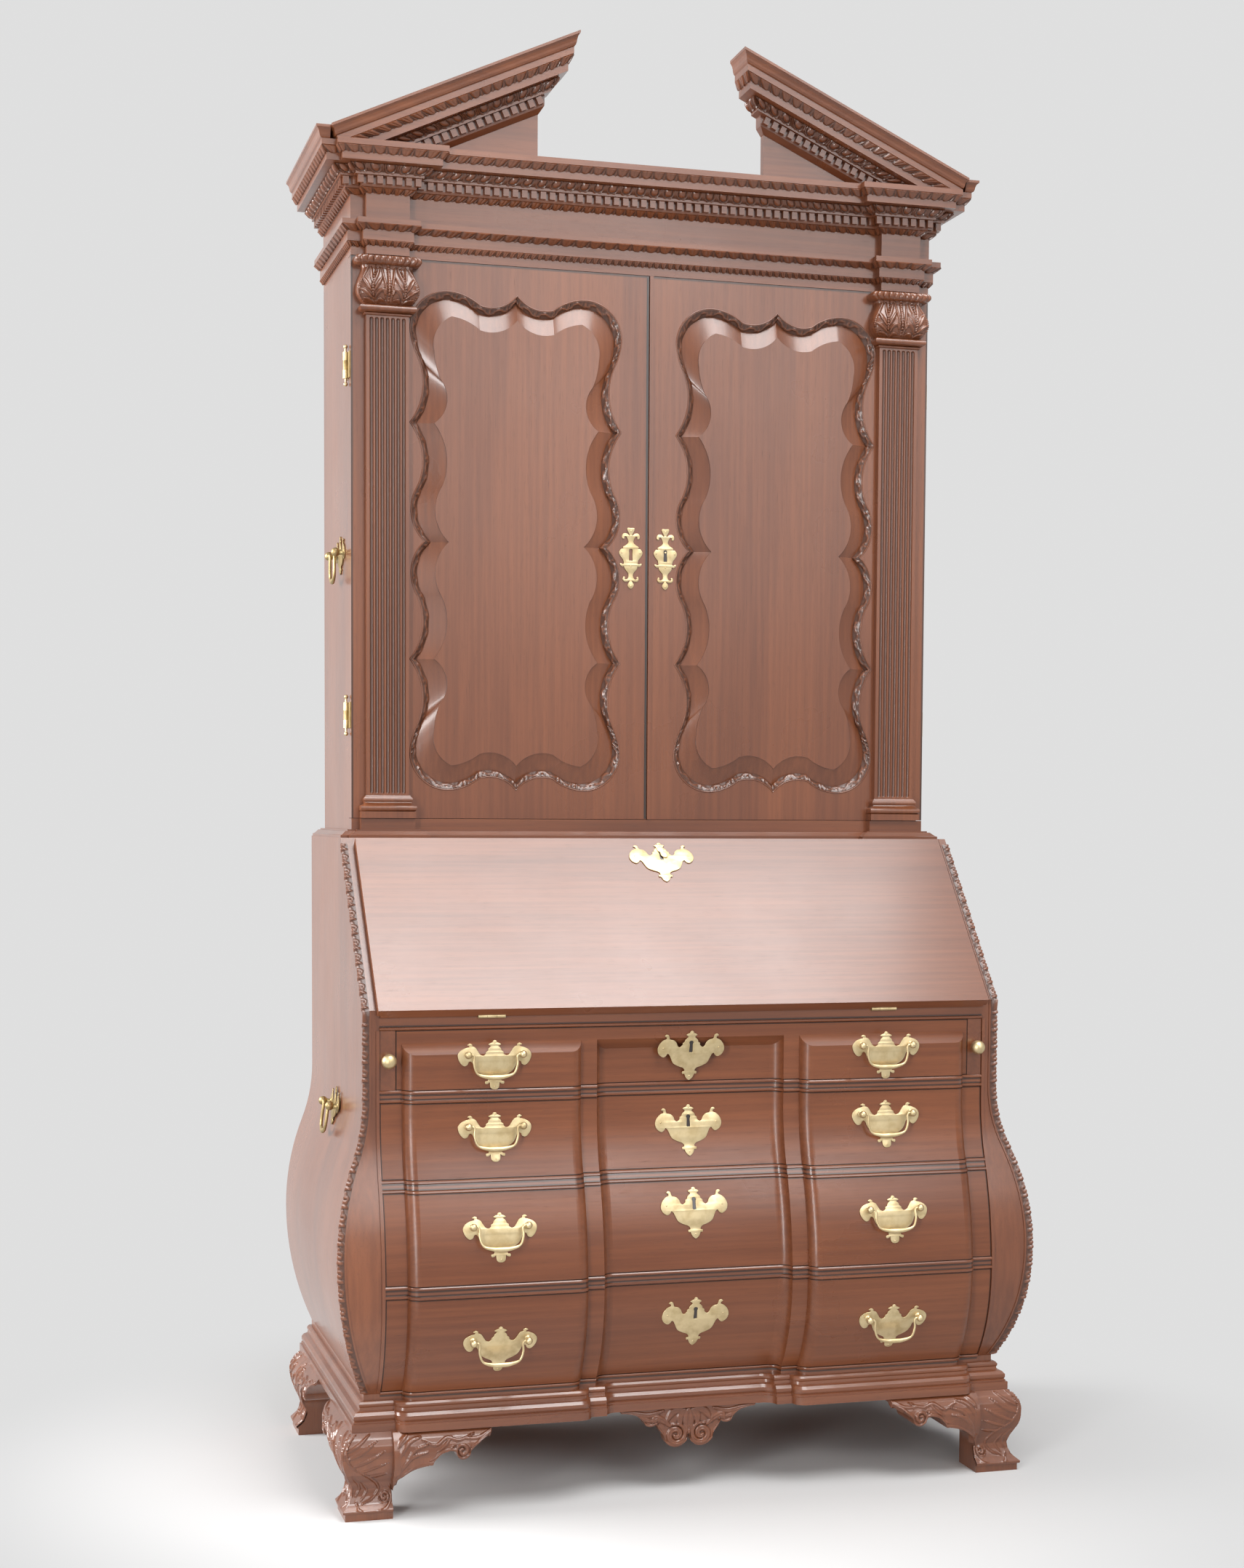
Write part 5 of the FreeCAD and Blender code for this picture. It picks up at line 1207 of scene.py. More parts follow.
    def leaves(self, way: Grid, rise: Grid) -> Grid:
        """Two broad leaves side by side with ribbed lobes and a seam between."""
        field = strokes_height(self.leaf, np.abs(way) * self.leaf_size[0], rise * self.leaf_size[1])
        return (1.0 + field) * np.clip(rise * 9, 0.2, 1)

    def frill(self, way: Grid, rise: Grid) -> Grid:
        """The ruffled border under the frieze."""
        teeth = np.abs(np.cos(way * math.pi * self.teeth / 2)) ** 0.8
        return self.tooth * (teeth - 0.5) * np.sin(math.pi * np.clip(rise, 0, 1)) ** 0.6

    def shaft(self, form: Form) -> None:
        """Cut the fluted shaft.

        Args:
            form: takes the faces.
        """
        low, high = self.foot + self.base[-1][1], self.neck
        middles = np.linspace(self.margin - self.half, self.half - self.margin, self.flutes)
        bend = self.flute * np.sin(np.linspace(-1, 1, 13) * math.pi / 2)
        wide = np.unique(np.concatenate((np.linspace(-self.half, self.half, 9), (middles[:, None] + bend).ravel())))
        first, last, ends = low + self.stop, high - self.stop, bend[6:]
        z = np.concatenate(([low], first - ends[::-1], np.linspace(first + self.plain, last - self.plain, 6),
                            last + ends, [high]))[:, None]
        beyond = np.maximum(np.maximum(first - z, z - last), 0)
        gap = np.abs(wide[:, None] - middles).min(axis=1)
        sunk = np.sqrt(np.clip(self.flute ** 2 - gap ** 2 - beyond ** 2, 0, None))
        front = np.stack((self.x + wide + 0 * sunk, sunk - self.face - self.proud, z + 0 * sunk), -1)
        back = front[:, [-1, 0]].copy()
        back[..., 1] = self.sink - self.face
        # Painted shade in the flutes, darkest at their bottoms.
        shade = np.concatenate((1 - sunk / self.flute * self.flute_shade, np.ones((len(z), 2))), axis=1)
        form.tube(np.concatenate((front, back), axis=1), shade)

    def build(self) -> Form:
        """Shape the right one.

        Returns:
            Its form.
        """
        form = Form()
        form.tube(self.square(self.base, self.foot))
        self.shaft(form)
        form.tube(self.square(self.collar, self.neck))
        form.tube(*self.rounded(self.bell, 64, self.leaves, 5.0))
        form.tube(*self.rounded(self.ruffle, 12, self.frill, 9.0))
        return form


@dataclass
class Doors:
    """Raised panels, their carved mouldings and the pilasters of the two doors."""

    middle: float = 1567.2
    panel_x: float = 232.3
    wide: float = 183.5
    tall: float = 415.5
    face: float = CASE_FRONT
    bevel: float = 41.0
    lip: float = 1.5
    moulding: float = 11.0
    sunk: float = 9.0
    shoulder: float = 113.0
    rounding: float = 60.0
    wave: float = 22.0
    cusp: float = 196.5
    cusp_in: float = 25.0
    pitch: float = 31.0
    board: float = 11.0
    step: float = 1.8
    bead: float = 1.1
    ground: float = 0.4
    relief: float = 2.8
    crease: float = 7.0
    fine: int = 28
    coarse: int = 14

    def scallop(self, inset: float, count: int) -> Grid:
        """Outline of the right panel, drawn in by a distance.

        Args:
            inset: the distance.
            count: points to each of its curves.

        Returns:
            Rows of (x, z).
        """
        wide, tall, wave, shoulder, cusp = self.wide - inset, self.tall - inset, self.wave, self.shoulder, self.cusp
        neck = tall - 1.75 * self.rounding
        steps = [((-0.29 * shoulder, tall - 0.95 * wave), (-0.57 * shoulder, tall - 0.9 * wave)),
                 ((-0.78 * shoulder, tall - 0.27 * wave), (-shoulder, tall)),
                 ((-0.72 * wide - 0.28 * shoulder, tall - 0.29 * self.rounding), (-wide, tall - self.rounding)),
                 ((0.14 * wave - wide, tall - 1.37 * self.rounding), (0.5 * wave - wide, neck)),
                 ((wave - wide, (neck + cusp) / 2), (-wide, cusp)),
                 ((wave - wide, 0.7 * cusp), (0.6 * wave - wide, 0.465 * cusp)),
                 ((0.1 * wave - wide, 0.235 * cusp), (self.cusp_in - wide, 0.0))]
        quarter = path((0.0, tall), steps, count)
        half = np.concatenate((quarter, (quarter * (1, -1))[-2::-1]))
        whole = np.concatenate((half, (half * (-1, 1))[-2:0:-1]))
        return whole + (self.panel_x, self.middle)

    def leafage(self, u: Grid, rise: Grid) -> Grid:
        """Carve the leaves and the winding stem of the moulding.

        Args:
            u: way along a repeat, 0 to 1.
            rise: way in towards the panel, 0 to 1.

        Returns:
            Heights of 0 to 1.
        """
        leaf = np.clip(np.sin(math.tau * (u * 4 + 0.4 * rise)), 0, 1) * (0.6 + 0.4 * np.cos(math.tau * (u - 0.3)))
        stem = 0.8 * dome((rise - 0.5 - 0.28 * np.sin(math.tau * u)) / 0.13)
        return np.maximum(leaf * np.sin(math.pi * np.clip(rise * 0.9 + 0.08, 0, 1)) ** 0.7, stem)

    def ring(self) -> Form:
        """The carved moulding that slopes in round the right panel, and the bead on its edge.

        Returns:
            Its form.
        """
        form = Form()
        outer, inner = self.scallop(self.lip, self.fine), self.scallop(self.moulding, self.fine)
        v = np.linspace(0, 1, 8)[None, :, None]
        edge, inside = at_depth(outer, -self.face)[:, None], at_depth(inner, self.sunk - self.face)[:, None]
        step = np.linalg.norm(np.diff(outer, axis=0, append=outer[:1]), axis=1)
        run = np.concatenate(([0.0], np.cumsum(step)[:-1])) / step.sum() * round(step.sum() / self.pitch)
        height = self.ground + self.relief * self.leafage((run - np.floor(run))[:, None], v[..., 0])
        # The flat ground of the carving is darkened fully: painted shade.
        form.carve(edge + v * (inside - edge), height, AHEAD, looped=True, ground=1.0)
        bead = at_depth(self.scallop(0.0, self.coarse), -self.face)
        turn = np.linspace(0, math.tau, 9)[:-1]
        ahead = np.roll(bead, -1, axis=0) - np.roll(bead, 1, axis=0)
        side = unit(np.stack((-ahead[:, 2], 0 * ahead[:, 0], ahead[:, 0]), -1))
        round_it = np.cos(turn)[:, None] * side[:, None] + np.sin(turn)[:, None] * np.array((0.0, 1.0, 0.0))
        form.tube(bead[:, None] + self.bead * round_it, looped=True)
        return form

    def panel(self) -> Form:
        """The raised panel of the right door, with its bevel and the lip round it.

        Returns:
            Its form.
        """
        rows = [(0.0, self.sunk + self.board), (0.0, 0.0), (self.lip, 0.0), (self.moulding, self.sunk),
                (self.bevel, 0.0), (self.bevel, -self.step)]
        form = Form()
        form.tube(np.array([at_depth(self.scallop(inset, self.fine), deep - self.face) for inset, deep in rows]))
        return form

    def build(self) -> None:
        """Dress both doors."""
        self.panel().pair("door_{}_raised_panel", UPRIGHT, "door_{}", "door_{}_panel", self.crease)
        self.ring().pair("door_{}_panel_carving", CARVED_UPRIGHT, "door_{}")
        Pilaster().build().pair("door_{}_pilaster_carved", CARVED_UPRIGHT, "door_{}", "door_{}_pilaster")


@dataclass(frozen=True)
class Swell:
    """How the case stands out on its way down."""

    depth: float
    widest: float
    turn: float
    start: float
    foot: float
    foot_depth: float

    def out(self, z: Grid) -> Grid:
        """Find how far the case stands out.

        Args:
            z: heights.

        Returns:
            The way out at each.
        """
        rise = self.start - self.widest
        total = (self.depth ** 2 + rise ** 2) / (2 * self.depth)
        share = (self.turn - self.widest) / rise
        drop = self.depth - self.foot_depth
        lower = (drop ** 2 + (self.widest - self.foot) ** 2) / (2 * drop)
        upper, hollow = total * share, total * (1 - share)
        bend = hollow - np.sqrt(np.clip(hollow ** 2 - (self.start - z) ** 2, 0, None))
        bulge = self.depth - upper + np.sqrt(np.clip(upper ** 2 - (z - self.widest) ** 2, 0, None))
        belly = self.depth - lower + np.sqrt(np.clip(lower ** 2 - (self.widest - z) ** 2, 0, None))
        return np.select([z >= self.start, z >= self.turn, z >= self.widest, z >= self.foot],
                         [0.0 * z, bend, bulge, belly], self.foot_depth)

    def at(self, z: float) -> float:
        """How far the case stands out at one height."""
        return float(self.out(np.array([z]))[0])

    def slope(self, z: Grid) -> Grid:
        """How much farther the case stands out for each millimetre down, at some heights."""
        return self.out(z - 0.5) - self.out(z + 0.5)

    def lean(self, z: float) -> float:
        """How far the case leans back at one height, as an angle."""
        return math.atan(float(self.slope(np.array([z]))[0]))


FRONT_SWELL = Swell(53.0, 350.0, 530.0, 640.0, 192.0, 1.0)
SIDE_SWELL = Swell(48.0, 405.0, 561.0, 660.0, 192.0, 2.0)


@dataclass
class DeskCorners:
    """Carved strips that run down the front corners of the desk; a lump is (middle, long, broad, high)."""

    half: float = DESK_HALF
    front: float = DESK_FRONT
    proud: float = 1.6
    floor: float = 195.0
    hinge: Point = FALL_HINGE
    slant: float = FALL_SLANT
    edge: float = 5.0
    slope: float = 352.0
    wide: float = 9.5
    pitch: float = 29.0
    step: float = 1.6
    upright_ends: Point = (1.0, 4.0)
    slope_ends: Point = (8.0, 6.0)
    across: int = 13
    ground: float = 0.3
    sink: float = 2.0
    lumps: tuple[tuple[float, ...], ...] = ((0.12, 0.13, 0.85, 3.4), (0.38, 0.12, 0.68, 3.0), (0.62, 0.11, 0.5, 2.6),
                                            (0.84, 0.12, 0.36, 2.2))
    bow: float = 0.12
    stem: float = 0.22
    stem_sway: float = 0.62
    stem_high: float = 1.7

    def edge_line(self) -> Grid:
        """The right front corner from the base up to the top of the slope.

        Returns:
            Rows of points.
        """
        z = np.arange(self.floor + self.upright_ends[0], self.hinge[1] - self.upright_ends[1], self.step)
        side, front = self.half + self.proud, -self.front - self.proud
        upright = np.stack((side + SIDE_SWELL.out(z), front - FRONT_SWELL.out(z), z), -1)
        along = np.arange(self.slope_ends[0], self.slope - self.slope_ends[1], self.step)
        out, cos, sin = self.edge + self.proud, math.cos(self.slant), math.sin(self.slant)
        slope = np.stack((np.full(len(along), side), self.hinge[0] + along * cos - out * sin,
                          self.hinge[1] + along * sin + out * cos), -1)
        return np.concatenate((upright, slope))

    def carving(self, u: Grid, w: Grid) -> Grid:
        """Height of the carving.

        Args:
            u: way along a repeat, 0 to 1.
            w: way across the strip, -1 to 1.

        Returns:
            Heights in millimetres.
        """
        height = self.stem_high * dome((w - self.stem_sway * np.cos(math.tau * u)) / self.stem)
        for middle, long, broad, high in self.lumps:
            lean = (u - middle + self.bow * np.abs(w)) / long
            height = np.maximum(height, high * dome(np.hypot(lean, w / broad)))
        return self.ground + height

    def build(self) -> None:
        """Carve both strips."""
        line = self.edge_line()
        right = np.array(RIGHTWARD)
        back = unit(np.cross(unit(np.gradient(line, axis=0)), right))
        back = (back * np.sign(back[:, 1:2]))[:, None]
        v = np.linspace(-1, 1, self.across)[None, :, None]
        base = line[:, None] + self.wide * (np.clip(v, 0, 1) * back - np.clip(-v, 0, 1) * right)
        normal = unit((1 + v) * right - (1 - v) * back)
        run = np.concatenate(([0.0], np.cumsum(np.linalg.norm(np.diff(line, axis=0), axis=1)))) / self.pitch
        height = self.carving((run - np.floor(run))[:, None], v[..., 0])
        front = base + normal * height[..., None]
        behind = base - self.sink * normal
        inside = line[:, None] - 2 * self.sink * normal[:, self.across // 2, None]
        # Relief for painted shade: the low parts of the carving are darker.
        shade = np.concatenate((height / height.max(), np.ones((len(line), 3))), axis=1)
        form = Form()
        form.tube(np.concatenate((front, behind[:, -1:], inside, behind[:, :1]), axis=1), shade)
        form.pair("corner_carving_{}", CARVED_UPRIGHT)


@dataclass
class Feet:
    """Carving on the ogee feet and their wings; the profile is (height, out)."""

    half: float = 541.0
    front: float = 567.0
    top: float = FEET_TOP
    profile: tuple[Point, ...] = ((137.0, 20.0), (128.0, 31.0), (118.0, 37.0), (108.0, 39.2), (100.0, 39.0),
                                  (88.0, 37.2), (78.0, 34.0), (70.0, 31.0), (58.0, 25.0), (46.0, 21.0), (36.0, 22.6),
                                  (26.0, 27.0), (20.0, 33.0), (16.0, 39.0), (12.0, 38.0))
    post: float = 41.0
    reach: float = 160.0
    forward: float = 12.0
    pad: float = 35.0
    drawn: float = 76.0
    toe: float = 12.0
    fade: float = 8.0
    ground: float = 0.3
    sink: float = 3.0
    post_relief: float = 0.62
    wing_relief: float = 0.7
    shallow: float = 4.0
    rim: float = 2.6
    rim_high: float = 2.8
    rim_start: float = 8.0
    bulge: float = 22.0
    post_grid: tuple[int, int] = (64, 96)
    wing_grid: tuple[int, int] = (110, 48)
    wing: tuple[tuple[Point, ...], ...] = (((3, 8),), ((20, 18), (38, 33)), ((50, 46), (61, 33)),
                                           ((80, 32), (98, 51)), ((124, 56), (146, 70)), ((156, 80), (160, 96)))
    post_strokes: tuple[Stroke, ...] = (
        Stroke(((8, 4), (5, 28), (14, 52), (38, 70), (50, 88), (40, 104), (24, 112)), 2.6, 1.5, 4.2),
        Stroke(((8, 24), (22, 16), (34, 4)), 3.2, 1.2, 4.0),
        Stroke(((9, 36), (28, 28), (50, 12)), 3.8, 1.2, 4.2),
        Stroke(((14, 50), (36, 42), (62, 28)), 3.8, 1.2, 4.2),
        Stroke(((22, 60), (44, 54), (68, 46)), 3.4, 1.2, 3.8),
        Stroke(((34, 68), (50, 66), (66, 63)), 2.8, 1.2, 3.4),
        Stroke(((8, 66), (14, 84), (8, 100)), 2.8, 1.3, 3.4),
        Stroke(((20, 76), (27, 92), (20, 106)), 2.6, 1.3, 3.2),
        Stroke(spiral((61, 103), 10.0, math.pi, -1.6), 2.2, 1.7, 4.0),
        Stroke(((10, 108), (24, 120), (46, 124), (66, 118), (74, 104), (72, 86)), 2.2, 1.5, 3.6))
    wing_strokes: tuple[Stroke, ...] = (
        Stroke(((3, 92), (9, 62), (27, 38), (52, 30)), 4.4, 1.5, 4.4),
        Stroke(((6, 90), (22, 68), (46, 54), (62, 50)), 3.6, 1.4, 4.0),
        Stroke(((5, 60), (10, 32), (24, 14), (42, 8)), 4.0, 1.4, 4.2),
        Stroke(((16, 52), (31, 27), (56, 18)), 3.4, 1.3, 3.8),
        Stroke(((3, 30), (10, 14), (22, 4)), 2.8, 1.2, 3.4),
        Stroke(((44, 12), (66, 20), (84, 11), (104, 15), (128, 8)), 2.6, 1.5, 3.6),
        Stroke(((56, 44), (76, 36), (96, 22)), 3.2, 1.3, 3.6),
        Stroke(((68, 30), (80, 22), (92, 10)), 2.6, 1.2, 3.2),
        Stroke(spiral((109, 31), 13.0, 0.4, 1.7), 2.4, 1.9, 4.2),
        Stroke(((116, 14), (136, 13), (156, 4)), 3.0, 1.0, 3.4),
        Stroke(((122, 26), (136, 20), (150, 12)), 2.6, 1.0, 3.0))

    def out(self, z: Grid) -> Grid:
        """How far the foot stands out at some heights."""
        table = np.array(self.profile[::-1])
        return np.interp(z, table[:, 0], table[:, 1])

    def wing_depth(self, u: Grid) -> Grid:
        """Find how deep the wing hangs.

        Args:
            u: way along it from the post.

        Returns:
            Its depth at each.
        """
        edge = path((0.0, 0.0), self.wing, 12)
        edge = edge[np.argsort(edge[:, 0], kind="stable")]
        return np.maximum(np.interp(self.reach - u, edge[:, 0], edge[:, 1]), self.shallow)

    def column(self, form: Form, place: Callable[[Grid, Grid], Grid], outward: Place, straight: float = 0.0) -> None:
        """Carve a post from its corner inward.

        Args:
            form: takes the faces.
            place: gives points from the way in from the case corner and the height.
            outward: the way it faces.
            straight: how far it passes the case corner where it ends square, or 0 where it is mitred.
        """
        share = np.linspace(0, 1, self.post_grid[0])[:, None]
        z = np.linspace(self.top - 0.5, self.toe + 0.5, self.post_grid[1])[None, :]
        edge = straight + 0 * z if straight else self.out(z)
        field = strokes_height(self.post_strokes, share * self.drawn, self.top - z)
        height = self.ground + self.post_relief * field * np.clip((z - self.toe) / self.fade, 0, 1)
        form.carve(place(share * (self.post + edge) - edge, z), height, outward, self.sink, bent=True)

    def spread(self, form: Form, place: Callable[[Grid, Grid], Grid], outward: Place, forward: float = 0.0) -> None:
        """Carve a wing from its post to its tip.

        Args:
            form: takes the faces.
            place: gives points from the way in from the case corner and the height.
            outward: the way it faces.
            forward: how far the wing bulges out where it leaves the post.
        """
        u = np.linspace(0.5, self.reach - 1.5, self.wing_grid[0])[:, None]
        deep = self.wing_depth(u)
        t = 0.5 + np.linspace(0, 1, self.wing_grid[1])[None, :] * (deep - 0.7)
        rim = self.rim_high * dome((deep - t - self.rim) / self.rim) * (u > self.rim_start)
        height = self.ground + self.wing_relief * np.maximum(strokes_height(self.wing_strokes, u, t), rim)
        swell = forward * (dome(faded(u / self.bulge)) - 1)
        base = place(self.post + u, self.top - t) + np.array(outward) * swell[..., None]
        form.carve(base, height, outward, self.sink + forward / 2, bent=True)

    def on_front(self, way: Grid, z: Grid, forward: float = 0.0) -> Grid:
        """Points of the right front foot's face, by the way in from the case corner and the height."""
        return np.stack(np.broadcast_arrays(self.half - way, -self.front - self.out(z) - forward, z), -1)

    def on_side(self, way: Grid, z: Grid, start: float, sign: float) -> Grid:
        """Points of a right foot's side, running back from the front or forward from the back."""
        return np.stack(np.broadcast_arrays(self.half + self.out(z), start + sign * way, z), -1)

    def build(self) -> None:
        """Carve the four feet."""
        front, rear = Form(), Form()
        self.column(front, self.on_front, AHEAD)
        self.spread(front, partial(self.on_front, forward=self.forward), AHEAD, self.forward)
        for form, start, sign, straight in ((front, -self.front, 1.0, 0.0), (rear, -self.pad, -1.0, self.pad - 0.4)):
            place = partial(self.on_side, start=start, sign=sign)
            self.column(form, place, RIGHTWARD, straight)
            self.spread(form, place, RIGHTWARD)
        front.pair("front_foot_carving_{}", CARVED)
        rear.pair("rear_foot_carving_{}", CARVED)


@dataclass
class Drop:
    """Carved board under the middle of the front; the outline is drawn in shares of its half width and depth."""

    half: float = 118.0
    depth: float = 66.0
    top: float = FEET_TOP
    face: float = -564.0
    ground: float = 0.3
    sink: float = 3.0
    relief: float = 0.75
    shallow: float = 3.0
    rim: float = 2.4
    rim_high: float = 2.6
    margin: float = 2.0
    grid: tuple[int, int] = (190, 56)
    outline: tuple[tuple[Point, ...], ...] = (
        ((0.0, 0.0),), ((0.03, 0.08),), ((0.20, 0.12), (0.36, 0.36)), ((0.44, 0.45), (0.53, 0.39)),
        ((0.575, 0.55), (0.64, 0.69)), ((0.69, 0.91), (0.815, 1.0)), ((0.94, 0.91), (0.985, 0.69)), ((1.0, 0.64),))
    strokes: tuple[Stroke, ...] = (
        Stroke(spiral((22, 45), 18.5, -1.2, -1.7), 4.4, 3.0, 5.0),
        Stroke(((0, 4), (1, 22), (0, 42)), 9.0, 3.6, 5.0),
        Stroke(((7, 4), (15, 16), (14, 30)), 6.5, 1.8, 4.2),
        Stroke(((12, 2), (28, 8), (38, 22)), 7.0, 1.8, 4.2),
        Stroke(((32, 30), (45, 20), (57, 15), (62, 23)), 6.0, 2.2, 4.2),
        Stroke(spiral((57, 18), 7.5, 1.8, 1.2), 2.8, 2.0, 4.0),
        Stroke(((44, 4), (68, 10), (92, 6), (114, 2)), 5.6, 1.2, 3.8),
        Stroke(((64, 20), (78, 16), (96, 10)), 4.6, 1.0, 3.2))

    def build(self) -> None:
        """Carve the board."""
        edge = path((0.0, 0.0), self.outline, 14)
        far = self.half * (1 - edge[:, 0])
        order = np.argsort(far, kind="stable")
        x = np.linspace(self.margin - self.half, self.half - self.margin, self.grid[0])[:, None]
        deep = np.maximum(np.interp(np.abs(x), far[order], self.depth * edge[order, 1]), self.shallow)
        t = 0.4 + np.linspace(0, 1, self.grid[1])[None, :] * (deep - 0.5)
        rim = self.rim_high * dome((deep - t - self.rim) / self.rim)
        height = self.ground + self.relief * np.maximum(strokes_height(self.strokes, np.abs(x), t), rim)
        form = Form()
        form.carve(np.stack(np.broadcast_arrays(x, self.face, self.top - t), -1), height, AHEAD, self.sink)
        form.piece("drop_carving", CARVED)


@dataclass(frozen=True)
class Seat:
    """Where a fitting sits: its origin, the way out from the wood and the way up."""

    origin: Place
    outward: Place = AHEAD
    up: Place = UPWARD

    def place(self, points: Grid) -> Grid:
        """Points in the frame of the part from (across, out, up)."""
        axes = np.array((np.cross(self.up, self.outward), self.outward, self.up))
        return np.array(self.origin) + points @ axes

    def raised(self, height: float) -> "Seat":
        """The same seat farther out."""
        origin = np.array(self.origin) + height * np.array(self.outward)
        return Seat(tuple(origin), self.outward, self.up)

    def hanging(self) -> "Seat":
        """The seat of a bail at rest: plumb where the face leans out over it, else along the face."""
        over = self.up[2] < 1 and self.outward[2] < 0
        return Seat(self.origin, tuple(unit(np.array((*self.outward[:2], 0.0))))) if over else self


@dataclass(frozen=True)
class Plate:
    """A sheet of brass sawn to an outline; the outline is its right half from top to bottom."""

    half: tuple[Point, ...]
    holes: tuple[tuple[Point, ...], ...] = ()
    nails: tuple[Point, ...] = ()
    thick: float = 1.9
    bevel: float = 0.45
    weld: float = 0.02
    gap: float = 0.1
    nail: float = 1.5
    nail_squash: Place = (1.0, 0.6, 1.0)

    def sheet(self) -> Form:
        """Saw the plate in its own frame of (across, out, up).

        Returns:
            Its form, with the nails.
        """
        left = tuple((-x, z) for x, z in reversed(self.half) if x)
        data = bpy.data.curves.new("sheet", "CURVE")
        data.dimensions, data.fill_mode = "2D", "BOTH"
        data.extrude, data.bevel_depth, data.bevel_resolution = self.thick / 2 - self.bevel, self.bevel, 1
        for outline in (self.half + left, *self.holes):
            ring = smooth(outline, 4, True)
            spline = data.splines.new("POLY")
            spline.points.add(len(ring) - 1)
            spline.points.foreach_set("co", np.c_[ring, np.zeros(len(ring)), np.ones(len(ring))].ravel())
            spline.use_cyclic_u = True
        holder = bpy.data.objects.new("sheet", data)
        mesh = bpy.data.meshes.new_from_object(holder)
        work = bmesh.new()
        work.from_mesh(mesh)
        bmesh.ops.remove_doubles(work, verts=work.verts, dist=self.weld)
        points = np.array([vertex.co for vertex in work.verts])
        faces = [[vertex.index for vertex in face.verts] for face in work.faces]
        work.free()
        bpy.data.objects.remove(holder)
        bpy.data.curves.remove(data)
        bpy.data.meshes.remove(mesh)
        form = Form()
        form.add(points[:, [0, 2, 1]] + (0.0, self.thick / 2 + self.gap, 0.0), faces)
        for x, z in self.nails:
            for side in ((-1, 1) if x else (1,)):
                form.ball((side * x, self.thick, z), self.nail, self.nail_squash)
        return form


PULL_PLATE = Plate(
    ((0, 21.9), (2.6, 20.8), (3.2, 18.6), (6.4, 17.4), (9.7, 15.6), (7.4, 14.4), (4.9, 13.4), (7.0, 11.6), (9.6, 9.0),
     (10.6, 5.6), (13.8, 3.4), (14.2, 0.6), (18.4, -2.6), (23.4, -1.0), (27.4, 4.4), (31.4, 10.4), (36.6, 12.8),
     (37.0, 15.6), (40.6, 17.0), (44.0, 15.2), (41.4, 14.2), (41.0, 11.6), (47.6, 9.8), (54.8, 6.2), (59.0, 0.4),
     (58.6, -6.4), (55.0, -13.4), (49.7, -17.7), (44.6, -16.2), (42.6, -12.2), (39.2, -10.6), (35.6, -13.4),
     (33.0, -20.0), (28.4, -26.6), (20.4, -31.6), (13.0, -35.2), (10.2, -39.0), (11.4, -43.0), (15.0, -43.6),
     (14.6, -47.0), (10.6, -46.4), (8.0, -44.0), (7.2, -48.4), (6.6, -52.4), (3.8, -55.2), (0, -55.9)),
    nails=((0, 18.6), (0, -52.0)))
KEY_PLATE = Plate(
    ((0, 29.1), (2.6, 28.0), (3.4, 25.6), (6.2, 24.6), (8.9, 22.8), (6.8, 21.4), (5.4, 19.0), (7.6, 16.8),
     (10.6, 13.6), (11.4, 10.4), (14.3, 8.6), (14.6, 5.4), (19.3, 1.4), (23.4, 3.8), (25.8, 9.4),
     (30.4, 13.6), (36.7, 15.2),
     (38.6, 19.0), (39.6, 22.4), (43.4, 23.6), (45.8, 21.4), (43.0, 20.0), (42.4, 16.4), (48.4, 13.4), (54.2, 7.0),
     (56.6, -1.4), (54.0, -9.4), (47.2, -14.2), (42.6, -12.4), (39.6, -8.4), (36.0, -10.6), (33.2, -16.2),
     (28.6, -25.0), (19.4, -30.2), (11.8, -33.0), (8.4, -37.0), (9.0, -40.0), (11.8, -40.4), (11.4, -43.6),
     (8.6, -43.4), (7.2, -46.0), (5.6, -49.6), (2.6, -52.6), (0, -54.2)),
    holes=(((0, 13.4), (3.0, 12.2), (4.1, 9.4), (3.0, 6.4), (3.2, 0.0), (3.2, -6.8), (0, -7.6), (-3.2, -6.8),
            (-3.2, 0.0), (-3.0, 6.4), (-4.1, 9.4), (-3.0, 12.2)),),
    nails=((0, 25.4), (0, -47.6), (47.5, 0.5)))
DOOR_PLATE = Plate(
    ((0, 51.2), (5.9, 51.2), (5.6, 47.4), (3.2, 43.0), (1.9, 40.2), (2.9, 38.2), (6.8, 41.4), (12.4, 41.8),
     (15.4, 38.4), (14.8, 34.0), (11.8, 33.4), (12.0, 36.4), (8.4, 37.4), (5.2, 32.6),
     (4.2, 27.4), (7.8, 22.6), (13.8, 18.8),
     (12.6, 15.8), (16.6, 15.4), (20.0, 11.8), (20.2, 7.6), (17.4, 2.6), (13.6, -2.2), (12.2, -6.6), (12.0, -9.0),
     (14.4, -10.8), (18.4, -9.0), (18.6, -11.4), (14.8, -14.2), (11.8, -13.2), (10.6, -17.6), (7.4, -21.6),
     (4.4, -25.4), (3.7, -29.4), (4.8, -34.0), (8.2, -36.8), (11.2, -35.0), (10.4, -32.6), (13.0, -32.2),
     (13.8, -36.2), (10.8, -39.6), (5.4, -39.4), (2.4, -37.6), (1.8, -39.4), (5.0, -44.6), (4.0, -48.6), (0, -51.6)),
    holes=(((0, 16.4), (2.6, 15.4), (3.5, 12.8), (3.2, 8.0), (3.4, -3.6), (0, -4.4), (-3.4, -3.6), (-3.2, 8.0),
            (-3.5, 12.8), (-2.6, 15.4)),),
    nails=((0, 46.6), (0, -14.0), (0, -47.6), (16.4, 9.4)))
COVER = Plate(
    ((0, 5.6), (3.6, 4.4), (5.6, 0.6), (4.6, -3.6), (3.6, -6.0), (5.6, -10.4), (5.4, -14.4), (3.2, -18.0),
     (0, -19.4)), thick=1.8)
